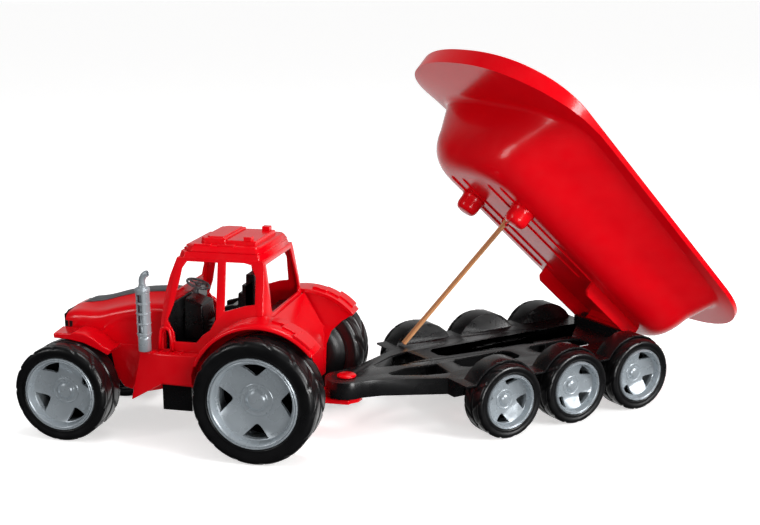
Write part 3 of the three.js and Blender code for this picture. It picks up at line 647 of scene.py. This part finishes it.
def between(a, b, share):
    """The ring at a share of the way from one ring to another."""
    return [p.lerp(q, share) for p, q in zip(a, b)]


def tub_rings():
    """The outer skin from the floor up: a round bilge, a flaring wall, a tight turn outwards, a band."""
    wall_plan = {"front": 295, "rear": 28, "front_length": 68.5, "rear_length": 81, "power": 2.9}
    rim_plan = tub_plan(342, 13, TUB_HALF, 98.5, 119, 2.3)
    floor = raised(tub_plan(292, 20, 66, 34, 44, 2.6), lambda x: TUB_FLOOR)
    bilge = raised(tub_plan(292, 20, 90, 71.5, 70, 2.9), lambda x: TUB_FLOOR)
    low = raised(tub_plan(half=112, **wall_plan), lambda x: 58)
    knee = raised(tub_plan(half=146, **wall_plan), lambda x: rim_top(x) - band_depth(x) - 3.5)
    crease = raised(rim_plan, lambda x: rim_top(x) - band_depth(x))
    top = raised(rim_plan, rim_top)
    under, over = between(low, knee, 0.87), between(knee, crease, 0.16)
    bottom = bent(floor, bilge, low, (0, 0.1, 0.2, 0.3, 0.4, 0.5, 0.6, 0.72, 0.86, 1))
    wall = [between(low, under, share) for share in (0.25, 0.5, 0.75)]
    turn = bent(under, knee, over, (0, 0.15, 0.3, 0.45, 0.6, 0.75, 0.9, 1))
    lip = [between(over, crease, share) for share in (0.3, 0.6, 0.85, 0.97, 1)]
    band = [between(crease, top, share) for share in (0.06, 0.35, 0.65, 0.9, 1)]
    return bottom + wall + turn + lip + band


def moved_in(rings, distance):
    """The rings moved along the skin's normals, the first one straight up and the last one level."""
    bm = ring_skin(bmesh.new(), rings)
    bmesh.ops.recalc_face_normals(bm, faces=bm.faces)
    bm.normal_update()
    normals = [vert.normal.copy() for vert in bm.verts]
    middle = sum((vert.co for vert in bm.verts), Vector()) / len(bm.verts)
    bm.verts.ensure_lookup_table()
    sign = 1 if normals[0].dot(bm.verts[0].co - middle) < 0 else -1
    bm.free()
    count = len(rings[0])
    inner = []
    for row, ring in enumerate(rings):
        moved = []
        for i, point in enumerate(ring):
            normal = normals[row * count + i] * sign
            if row == 0:
                normal = Vector((normal.x / 2, normal.y / 2, 1))
            if row == len(rings) - 1:
                normal = Vector((normal.x, normal.y, 0)).normalized()
            moved.append(point + distance * normal)
        inner.append(moved)
    return inner


def rolled_edge(outer, inner):
    """A half-round lip over the wall's top edge."""
    rings = []
    for step in range(1, 6):
        angle = math.pi * step / 6
        ring = []
        for a, b in zip(outer, inner):
            middle, half = (a + b) / 2, (a - b) / 2
            ring.append(middle + half * math.cos(angle) + Vector((0, 0, half.length * 0.8 * math.sin(angle))))
        rings.append(ring)
    return rings


def tub_shell():
    """The outer skin, a rolled lip over its edge, and the inner skin."""
    outer = tub_rings()
    inner = moved_in(outer, TUB_WALL)
    lowered = [[point - Vector((0, 0, 1.2)) for point in ring] for ring in (outer[-1], inner[-1])]
    outer[-1], inner[-1] = lowered
    rings = outer + rolled_edge(outer[-1], inner[-1]) + inner[::-1]
    return ring_skin(bmesh.new(), rings, caps=True)


def prop_axes():
    """The prop stick's pivot, swing axis, direction at rest and length, in the tub frame."""
    inward = TUB.inverted()
    pivot = inward @ Vector(joints["prop_fold"]["pos_m"]) * 1000
    axis = (inward.to_3x3() @ Vector(joints["prop_fold"]["axis"])).normalized()
    foot = inward @ (TRAILER @ (Vector(PROP_FOOT) * MM)) * 1000
    along = (foot - pivot).normalized()
    return pivot, axis, along, (foot - pivot).length


def basis(along, axis, origin):
    """A frame with X along a direction and Y on an axis square to it."""
    across = along.cross(axis)
    return Matrix.Translation(origin) @ Matrix((along, axis, across)).transposed().to_4x4()


def make_tub():
    on_tub("tub_shell", tub_shell(), ["tipper_tub"], 0.6, 2, 60)
    for side, name in SIDES:
        foot = [(0, -9.6), (9, -9.6), (12, -8.6), (14, -5.6), (15, -1.6), (15, 6), (15.6, 10), (17.5, 13.2)]
        foot.append((0, 13.2))
        place = (TUB_FOOT["x"], side * TUB_FOOT["y"], 0)
        on_tub(f"tub_foot_{name}", turned(bmesh.new(), foot, 40, at=place))
        cheek = [(-105, 14), (-105, 0), (-99, -5.4), (-3.5, -5.4)] + arc(0, 0, 6.5, 236, 360, 8) + [(7.5, 14)]
        shape = slab(bmesh.new(), cheek, side * TUB_CHEEK_Y - 2, side * TUB_CHEEK_Y + 2)
        on_tub(f"tub_cheek_{name}", shape, (), 0.9)
    ribs = bmesh.new()
    for y in (-54, -28, 28, 54):
        rib = [(-318, 14), (-312, 11.2), (-306, 10.9), (-118, 10.9), (-110, 11.6), (-108, 14)]
        slab(ribs, rib, y - 1, y + 1)
    on_tub("tub_floor_ribs", ribs, (), 0.5, 2)
    profile = [(3.4, -37), (5.6, -37), (6.5, -36), (6.5, 36), (5.6, 37), (3.4, 37)]
    barrel = turned(bmesh.new(), profile, 32, "Y", looped=True)
    slab(barrel, [(-4.5, 4.6), (4.5, 4.6), (5.5, 14), (-5.5, 14)], -37, 37)
    on_tub("tub_hinge_barrel", barrel, (), 0.4, 2)


def make_prop():
    pivot, axis, along, length = prop_axes()
    rearwards = (Vector((1, 0, 0)) - axis * axis.x).normalized()
    lugs = bmesh.new()
    for side in (-1, 1):
        outline = [(-3.5, 6)] + arc(0, 0, 3.5, 180, 360, 10) + [(3.5, 6)]
        slab(lugs, outline, side * 4.15 - 1, side * 4.15 + 1)
    bmesh.ops.transform(lugs, matrix=basis(rearwards, axis, pivot), verts=lugs.verts)
    on_tub("prop_lugs", lugs, (), 0.4, 2)
    pin_end = [(1.2, 5.2), (1.6, 5.3), (1.6, 5.8), (1, 6), (0, 6)]
    pin = [(r, -y) for r, y in reversed(pin_end)] + pin_end
    at_pivot = TUB @ basis(along, axis, pivot * MM)
    round_pin = turned(bmesh.new(), pin, 20, "Y")
    piece("prop_pin_round", round_pin, at_pivot, "tub", "steel_rod", ["prop_pivot_pin"])
    outline = [(length, -2.5), (length, 2.5)] + arc(0, 0, 3.4, 47, 313, 14)
    stick = slab(bmesh.new(), outline, -2.75, 2.75)
    piece(
        "prop_stick_wood", stick, at_pivot, "prop", "wood_stick", ["prop_stick"], 0.7, angle=40, own_frame=True
    )


# ---------------------------------------------------------------- cab


def wall_y(z):
    """Half the cab's width at a height."""
    return CAB_HALF - CAB_LEAN * max(0, z - CAB_LEAN_FROM)


def seat():
    """A stepped back on a wide cushion, in one block down to the floor."""
    side = [
        (-84, CAB_FLOOR), (-30, CAB_FLOOR), (-31, 164), (-30.5, 202), (-41.5, 202), (-42, 188.5),
        (-47, 188.5), (-47, 178), (-52, 178), (-53, 163), (-64, 160), (-66, 154), (-84, 150),
    ]
    return slab(bmesh.new(), side, -23, 23)


def plan_slab(bm, right, z0, z1, inset=0.0):
    """An outline given down its right side, mirrored and drawn up, its top drawn in by so much."""
    outline = list(right) + [(x, -y) for x, y in reversed(right)]
    middle = sum(x for x, _ in outline) / len(outline)
    share = 1 - inset / 50
    top = [(middle + (x - middle) * share, y * share) for x, y in outline]
    return ring_skin(bm, [[(x, y, z0) for x, y in outline], [(x, y, z1) for x, y in top]], caps=True)


def make_roof():
    """A brim, a shoulder on it, a ridged hatch with a lower tail, two lamps, and small ledges in front."""
    layers = [
        ("brim", [(-7.6, 47), (-13, 56.8), (-108, 56.8), (-116.5, 48)], 226.6, 234, 2.0, 0.6),
        ("shoulder", [(-8.6, 46), (-14, 55.3), (-101, 55.3), (-110, 46)], 233.6, 242, 4.5, 3),
        ("hatch", [(-60, 40), (-88, 40), (-93, 36)], 241, 248.6, 2.5, 1.2),
        ("hatch_ridge", [(-64, 34), (-82, 34), (-86, 31)], 248.2, 250, 1, 0.6),
        ("hatch_tail", [(-22, 39), (-61, 39)], 241, 246.6, 2, 1.2),
    ]
    for name, right, z0, z1, inset, bevel in layers:
        stands_for = ["cab_roof"] if name == "brim" else ()
        layer = plan_slab(bmesh.new(), right, z0, z1, inset)
        on_tractor(f"roof_{name}", layer, "red_gloss", stands_for, bevel, 4)
    trim = bmesh.new()
    for side in (-1, 1):
        box(trim, -37.5, -27.5, side * 34 - 5, side * 34 + 5, 246, 251.6)
        for x in (-86, -56):
            box(trim, x - 11, x + 11, side * 47 - 3, side * 47 + 3, 240.5, 243.2)
    for z, x in ((235.5, -109.5), (239, -106.5)):
        box(trim, x - 4, x + 4, -40, 40, z - 1.2, z + 1)
    on_tractor("roof_trim", trim, "red_gloss", (), 0.9)


def make_cab():
    softened("cab_shell", "red_gloss", 1.1)
    make_roof()
    softened("cab_floor", "black_gloss", 0.5)
    housing = [(5.6, 50), (28.6, 50), (28.6, 115), (3.7, 160), (3.7, 140), (5.6, 128)]
    on_tractor("rear_housing_wedge", slab(bmesh.new(), housing, -71, 71), "red_gloss", ["rear_housing"], 1)
    console = slab(bmesh.new(), [(-125, CAB_FLOOR), (-99, CAB_FLOOR), (-101, 158), (-125, 167)], -24, 24)
    for vert in console.verts:
        vert.co.y *= 1 - 0.25 * max(0, vert.co.z - CAB_FLOOR) / 50
    on_tractor("console_block", console, "black_gloss", ["dashboard"], 2.5, 4)
    upright = [(-130.5, CAB_FLOOR), (-127, CAB_FLOOR), (-126.5, 168), (-129.5, 168)]
    bulkhead = slab(bmesh.new(), upright, -64, 64)
    on_tractor("console_bulkhead", bulkhead, "black_gloss", (), 1.2)
    shelf = slab(bmesh.new(), [(-29, 144), (-3.5, 150), (-3.5, 153.5), (-29, 148)], -66, 66)
    on_tractor("rear_shelf", shelf, "black_gloss", (), 1.2)
    on_tractor("seat_stepped", seat(), "black_gloss", ["driver_seat"], 1.0)
    bolsters = bmesh.new()
    for side in (-1, 1):
        back = [(-43.5, 160), (-32, 160), (-32, 196), (-43.5, 187)]
        slab(bolsters, back, side * 20 - 3, side * 20 + 3)
        cushion = [(-83, 146), (-50, 150), (-50, 161), (-60, 162.5), (-83, 156)]
        slab(bolsters, cushion, side * 21 - 3, side * 21 + 3)
    on_tractor("seat_bolsters", bolsters, "black_gloss", (), 1.2)
    slats = bmesh.new()
    for k in range(5):
        z = CAB_FLOOR + 3 + 5 * k
        box(slats, -92, -85, -24, 24, z, z + 1.8)
    on_tractor("seat_base_slats", slats, "black_gloss", (), 0.6)
    for side, name in SIDES:
        loop = bmesh.new()
        y = side * (CAB_HALF + 1.4)
        path = [(-135, y, 116), (-134, y, 128), (-132.6, y, 137)]
        path += [(x, y, z) for x, z in arc(-126.6, 138, 6.2, 170, 10, 8)]
        path += [(-120, y, 137), (-118.5, y, 128), (-117.5, y, 116)]
        tube(loop, path, 1.9, 14)
        on_tractor(f"grab_loop_{name}", loop, "red_gloss")


def make_steering():
    tilt = Matrix.Rotation(STEERING["tilt"], 4, "Y")
    place = TRACTOR @ Matrix.Translation(Vector((STEERING["x"], 0, STEERING["z"])) * MM) @ tilt
    wheel = bmesh.new()
    radius = STEERING["radius"]
    turned(wheel, arc(radius, 0, 1.6, 0, 360 * 13 / 14, 13), 60, looped=True)
    turned(wheel, [(0, 2.2), (3, 2.2), (4, 1.4), (4.2, 0), (4, -1.6), (0, -1.6)], 28)
    for k in range(3):
        spoke = box(bmesh.new(), 3.2, radius - 0.6, -1.7, 1.7, -0.8, 0.9)
        turn = Matrix.Rotation(math.pi * (1 + 2 * k / 3), 4, "Z")
        bmesh.ops.transform(spoke, matrix=turn, verts=spoke.verts)
        joined(wheel, spoke)
    body = "steering_wheel"
    piece(f"{body}_round", wheel, place, body, "grey_plastic", [body], 0.3, 2, 60)
    column = [(0, -12), (4.6, -12), (4.2, -10), (3.4, -8.5), (3, -6), (3, -3.2), (2.4, -2.4), (0, -2.4)]
    shaft = turned(bmesh.new(), column, 24)
    piece("steering_column_round", shaft, place, "tractor", "grey_plastic", ["steering_column"])


# ---------------------------------------------------------------- nose

PANEL_HALF = 12

SIDE_STEPS = 22

# Stations along the nose: x, bottom, top and half width.
HOOD = [
    (-275, 112, 150.5, 44), (-262, 106, 154, 46), (-236, 100, 158, 47), (-208, 100, 166, 48),
    (-181, 98, 172, 49), (-150, 98, 174.8, 50), (-135.6, 98, 175, 51),
]


def hood_at(t):
    """The nose's station at a share of its length, on a smooth curve through the stations."""
    place = t * (len(HOOD) - 1)
    i = min(int(place), len(HOOD) - 2)
    u = place - i
    around = [HOOD[max(0, min(len(HOOD) - 1, i + k))] for k in (-1, 0, 1, 2)]
    return [
        0.5 * (2 * b + u * (c - a) + u * u * (2 * a - 5 * b + 4 * c - d) + u ** 3 * (3 * b - a - 3 * c + d))
        for a, b, c, d in zip(*around)
    ]


def hood_ridge(x, z):
    """How far the two curved crease lines stand out of the nose's side."""
    lift = 0.0
    for cx, cz, radius in ((-176, 92, 56), (-196, 60, 96)):
        away = abs(math.hypot(x - cx, z - cz) - radius)
        ahead = smooth((cx + 0.55 * radius - x) / 20)
        lift += 1.1 * math.exp(-(away / 1.9) ** 2) * ahead
    return lift


def curve(a, b, c, steps):
    """Points on a bend from the first point to the third, pulled towards the second, without the first."""
    shares = [k / steps for k in range(1, steps + 1)]
    return [tuple(pulled(p, q, r, t) for p, q, r in zip(a, b, c)) for t in shares]


def hood_section(station, inset, ridged):
    """One side up, over the top and down the other: straight sides, round shoulders and a crowned lid."""
    x, bottom, top, half = station
    side, lid = half - inset, top - 2.7 - inset
    crown = 0.35 + 0.65 * smooth((x + 272) / 55)
    eave, shoulder = lid - 11 - 8 * crown, lid - 7.6 * crown
    right = [(side, bottom + (eave - bottom) * k / SIDE_STEPS) for k in range(SIDE_STEPS + 1)]
    right += curve((side, eave), (side, shoulder - 2), (side - 13, shoulder), 9)
    right += curve((side - 13, shoulder), (side - 24, lid - 5.8 * crown), (PANEL_HALF, lid), 7)
    right += [(PANEL_HALF * (1 - k / 4), lid) for k in range(1, 5)]
    if ridged:
        ridges = [hood_ridge(x, z) if i <= SIDE_STEPS else 0 for i, (_, z) in enumerate(right)]
        right = [(y + ridge, z) for (y, z), ridge in zip(right, ridges)]
    points = right + [(-y, z) for y, z in reversed(right[:-1])]
    shear = [0.144 * max(0, z - 150) * smooth((x + 160) / 22) for _, z in points]
    return [Vector((x + dx, y, z)) for (y, z), dx in zip(points, shear)]


def hood_shell():
    """The nose as a thin shell, closed in front by a plate set just behind its edge."""
    stations = [hood_at(k / 60) for k in range(61)]
    x, bottom, top, half = stations[0]
    rounded = (x + 0.3, bottom + 0.4, top - 0.4, half - 0.4)
    outer = [hood_section(s, 0, True) for s in [rounded] + stations[1:]]
    inner = [hood_section(s, 2.4, False) for s in [(x + 2.4, bottom, top, half)] + stations[1:]]
    bm = ring_skin(bmesh.new(), [a + b[::-1] for a, b in zip(outer, inner)], caps=True)
    face = hood_section((x, bottom, top, half), 0.9, False)
    return ring_skin(bm, [[point + Vector((dx, 0, 0)) for point in face] for dx in (0, 2.2)], caps=True)


def top_panel():
    """A crowned strip with fine ridges running along it."""
    columns = 17
    rings = []
    for k in range(41):
        x, _, top, _ = hood_at(0.13 + 0.83 * k / 40)
        grow = smooth(k / 5)
        half = (0.7 + 0.3 * grow) * PANEL_HALF
        ring = []
        for column in range(columns):
            share = 2 * column / (columns - 1) - 1
            ridge = 0.5 * (column % 2) if 1 < column < columns - 2 else 0
            height = top - 0.3 + 0.9 * (1 - share * share) - 0.8 * share ** 8 + ridge
            ring.append(Vector((x, half * share, top - 2.2 + (height - top + 2.2) * grow)))
        ring += [Vector((x, half, top - 3)), Vector((x, -half, top - 3))]
        rings.append(ring)
    return ring_skin(bmesh.new(), rings, caps=True)


def make_nose():
    on_tractor("hood_shell_curved", hood_shell(), "red_gloss", ["hood_shell"], 0.8, 3, 50)
    on_tractor("hood_panel_ridged", top_panel(), "grey_plastic", ["hood_top_panel"])
    grille = bmesh.new()
    outline = [(-38, 120), (38, 120), (38, 143), (30, 146), (-30, 146), (-38, 143)]
    ring_skin(grille, [[(x, y, z) for y, z in outline] for x in (-277.2, -275.4)], caps=True)
    for k in range(6):
        z = 123 + 3.9 * k
        reach = 36.5 if z < 142 else 31
        box(grille, -279, -276.6, -reach, reach, z - 0.9, z + 0.9)
    for y in (-36.8, 0, 36.8):
        box(grille, -279, -276.6, y - 1.1, y + 1.1, 121, 142.5)
    on_tractor("grille_slats", grille, "black_gloss", ["front_grille"], 0.35, 2)
    for side, name in SIDES:
        wrap = bmesh.new()
        for x0, x1 in ((-275.2, -270.4), (-268.6, -264)):
            near = [(x, side * (44 + 2 * (x + 275) / 13)) for x in (x0, x1)]
            out = [(x, y + side) for x, y in near]
            back = [(x, y - side * 0.6) for x, y in reversed(near)]
            ring_skin(wrap, [[(x, y, z) for x, y in out + back] for z in (119, 136)], caps=True)
        on_tractor(f"grille_wrap_{name}", wrap, "black_gloss", (), 0.4, 2)


# ---------------------------------------------------------------- tractor body


def rod(reach, at=(0, 0, 0)):
    """A round rod across the toy with chamfered ends, reaching as far to each side."""
    profile = [(0, -reach), (2.2, -reach), (3, -reach + 1), (3, reach - 1), (2.2, reach), (0, reach)]
    return turned(bmesh.new(), profile, 24, "Y", at)


def exhaust():
    """A socket, a slotted shield with rings, a flared collar and a cut-off elbow."""
    x, y, foot = EXHAUST["x"], EXHAUST["y"], EXHAUST["foot"]
    bottom, top, pitch = 135, 189, 12.6
    tube_wall = [(6.8, bottom), (8.4, bottom), (8.4, top), (6.8, top)]
    shield = turned(bmesh.new(), tube_wall, 48, at=(x, y, 0), looped=True)
    slots = bmesh.new()
    for level in range(4):
        z = bottom + 4.5 + pitch * level
        for k in range(2):
            slot = box(bmesh.new(), 5, 12, -3.4, 3.4, z, z + 9.4)
            turn = Matrix.Translation((x, y, 0)) @ Matrix.Rotation(math.radians(180 * k - 100), 4, "Z")
            bmesh.ops.transform(slot, matrix=turn, verts=slot.verts)
            joined(slots, slot)
    sleeve = carved("exhaust_shield", shield, slots)
    on_tractor("exhaust_shield", sleeve, "silver_plastic", ["exhaust_stack"], 0.35, 2)
    core = bmesh.new()
    lower = [(0, foot), (7.2, foot), (7.6, foot + 0.6), (7.8, 131), (7.9, 135.4), (4.8, 136), (4.8, 188)]
    collar = [(8.6, 188.5), (9, 190), (9, 192.6), (8.6, 193.8), (5.6, 194.4), (4.6, 196), (4.2, 198)]
    collar.append((0, 198))
    turned(core, lower + collar, 48, at=(x, y, 0))
    for level in range(5):
        turned(core, arc(8.3, bottom + 2.8 + pitch * level, 0.7, 0, 315, 7), 48, at=(x, y, 0), looped=True)
    on_tractor("exhaust_core", core, "silver_plastic")
    bend = [(x, y, 196 + k) for k in range(0, 6, 2)]
    for k in range(11):
        angle = math.radians(8.2 * k)
        bend.append((x + 9 * (1 - math.cos(angle)), y, 201.5 + 10.5 * math.sin(angle)))
    elbow = tube(bmesh.new(), bend, 4, 28, caps=False)
    joined(elbow, tube(bmesh.new(), bend[3:], 3.1, 28, caps=False))
    open_edges = [edge for edge in elbow.edges if edge.is_boundary]
    tip = [edge for edge in open_edges if min(v.co.x for v in edge.verts) > x + 4]
    bmesh.ops.bridge_loops(elbow, edges=tip)
    bmesh.ops.holes_fill(elbow, edges=[edge for edge in elbow.edges if edge.is_boundary])
    on_tractor("exhaust_elbow", elbow, "silver_plastic", (), 0.4, 2, 50)


def rear_fender(side):
    """A band round the tyre that meets the leaning cab wall, with a rounded outer lip."""
    rings = []
    for k in range(61):
        angle = math.radians(157 - 117 * k / 60)
        # Radius and half width, None where the band meets the cab wall.
        section = [
            (84, None), (89, None), (89, 99), (88.6, 102.6), (87.8, 105.6), (86.8, 107.4), (85.6, 108),
            (83.4, 108), (83, 107.2), (83.4, 105.4), (84, 104.4),
        ]
        ring = []
        for radius, y in section:
            x, z = radius * math.cos(angle), REAR_AXLE_Z + radius * math.sin(angle)
            ring.append(Vector((x, side * (wall_y(z) + 0.3 if y is None else y), z)))
        rings.append(ring)
    return ring_skin(bmesh.new(), rings, caps=True)


def fender_plates(side):
    """Square plates stepping down and outwards over the back of the fender."""
    bm = bmesh.new()
    for start, end, y0, y1, top in ((82, 70, 78, 90, 91.6), (72, 59, 81, 98, 91.2), (61, 45, 87, 106, 90.8)):
        outline = arc(0, REAR_AXLE_Z, top, start, end, 4) + arc(0, REAR_AXLE_Z, 88, end - 1, start, 4)
        slab(bm, outline, side * y0, side * y1)
    return bm


def fender_wall(side):
    """A thin wall beside the tyre, from the housing out to the band."""
    outline = [(6, 50), (29, 50), (31, 90), (38, 108), (52, 122)]
    outline += arc(0, REAR_AXLE_Z, 86, 40.5, 94, 12) + [(6, 150)]
    return slab(bmesh.new(), outline, side * 75.4, side * 77.3)


def mudguard(side):
    """A thin guard over the front tyre, stepped up behind its flat front, wrapped round the nose."""
    outline = [
        (-278, 122), (-278, 128.4), (-251, 129), (-247, 131.2), (-234, 130), (-220, 124), (-209, 115),
        (-198, 111), (-203, 104.5), (-214, 110), (-234, 118), (-254, 121.4),
    ]
    bm = slab(bmesh.new(), outline, side * 45.5, side * 78)
    for vert in bm.verts:
        if abs(vert.co.y) > 60 and vert.co.x < -270:
            vert.co.x += 4
    return bm


def nose_skirt(side):
    """The nose's side carried down between the front wheel and the step."""
    outline = [(-214, 112), (-207, 70), (-196, 56), (-172, 50), (-130, 60), (-130, 112)]
    return slab(bmesh.new(), outline, side * 44, side * 49.6)


def side_step(node, side):
    """The CAD step, its front part bent in towards the nose and its tip carried forward and down."""
    bm = cad_shape(node)
    everything = bm.verts[:] + bm.edges[:] + bm.faces[:]
    bmesh.ops.bisect_plane(bm, geom=everything, plane_co=(STEP_BEND, 0, 0), plane_no=(1, 0, 0))
    for vert in bm.verts:
        if side * vert.co.y > 85 and vert.co.x < STEP_BEND:
            vert.co.y -= side * 0.24 * (STEP_BEND - vert.co.x)
        if vert.co.x < -160 and vert.co.z < 60:
            vert.co += Vector((-3, 0, -5))
    return bm


def make_body():
    softened("chassis", "black_gloss", 1.2)
    softened("tow_bar", "red_gloss", 1.2)
    shank = [(0, 40), (4.6, 40), (5.5, 41), (5.5, 73.6)]
    head = [(11.4, 73.6), (12, 74.2), (12, 75), (11.2, 76.2), (9.4, 77), (0, 77.2)]
    pin = turned(bmesh.new(), shank + head, 48, at=(HITCH_X, 0, 0))
    on_tractor("hitch_pin_round", pin, "red_gloss", ["hitch_pin"])
    exhaust()
    axles = (("front_axle", FRONT_AXLE_X, FRONT["radius"], 89), ("rear_axle", 0, REAR_AXLE_Z, 109))
    for node, x, z, reach in axles:
        on_tractor(f"{node}_rod", rod(reach, (x, 0, z)), "steel_rod", [node])
    for side, name in SIDES:
        guard = f"front_mudguard_{name}"
        on_tractor(f"{guard}_thin", mudguard(side), "red_gloss", [guard], 1.6, 4)
        on_tractor(f"nose_skirt_{name}", nose_skirt(side), "red_gloss", (), 1.2)
        step, fender = f"side_step_{name}", f"rear_fender_{name}"
        on_tractor(f"{step}_bent", side_step(step, side), "red_gloss", [step], 1.4)
        on_tractor(f"{fender}_arch", rear_fender(side), "red_gloss", [fender], 0.7, 3, 50)
        on_tractor(f"{fender}_plates", fender_plates(side), "red_gloss", (), 0.5, 2)
        on_tractor(f"{fender}_wall", fender_wall(side), "red_gloss", (), 0.6, 2)
        treads = bmesh.new()
        for k in range(5):
            x = -140 + 9 * k
            box(treads, x - 1.6, x + 1.6, side * 78, side * 90, 114.6, 116.6)
        on_tractor(f"step_treads_{name}", treads, "red_gloss", (), 0.6, 2)


# ---------------------------------------------------------------- trailer


def make_trailer():
    softened("trailer_frame", "black_gloss", 0.8, "trailer", TRAILER)
    hinge_rod = rod(47, (HINGE_X, 0, HINGE_Z))
    piece("tub_hinge_rod", hinge_rod, TRAILER, "trailer", "steel_rod", ["tub_hinge_pin"])
    for number, x in enumerate(TRAILER_AXLES, 1):
        axle = f"trailer_axle_{number}"
        piece(f"{axle}_rod", rod(107, (x, 0, SMALL["radius"])), TRAILER, "trailer", "steel_rod", [axle])


# ---------------------------------------------------------------- assembly

bpy.context.scene.view_settings.view_transform = "Standard"
make_camera()
make_stage()
make_wheels()
make_tub()
make_prop()
make_cab()
make_steering()
make_nose()
make_body()
make_trailer()
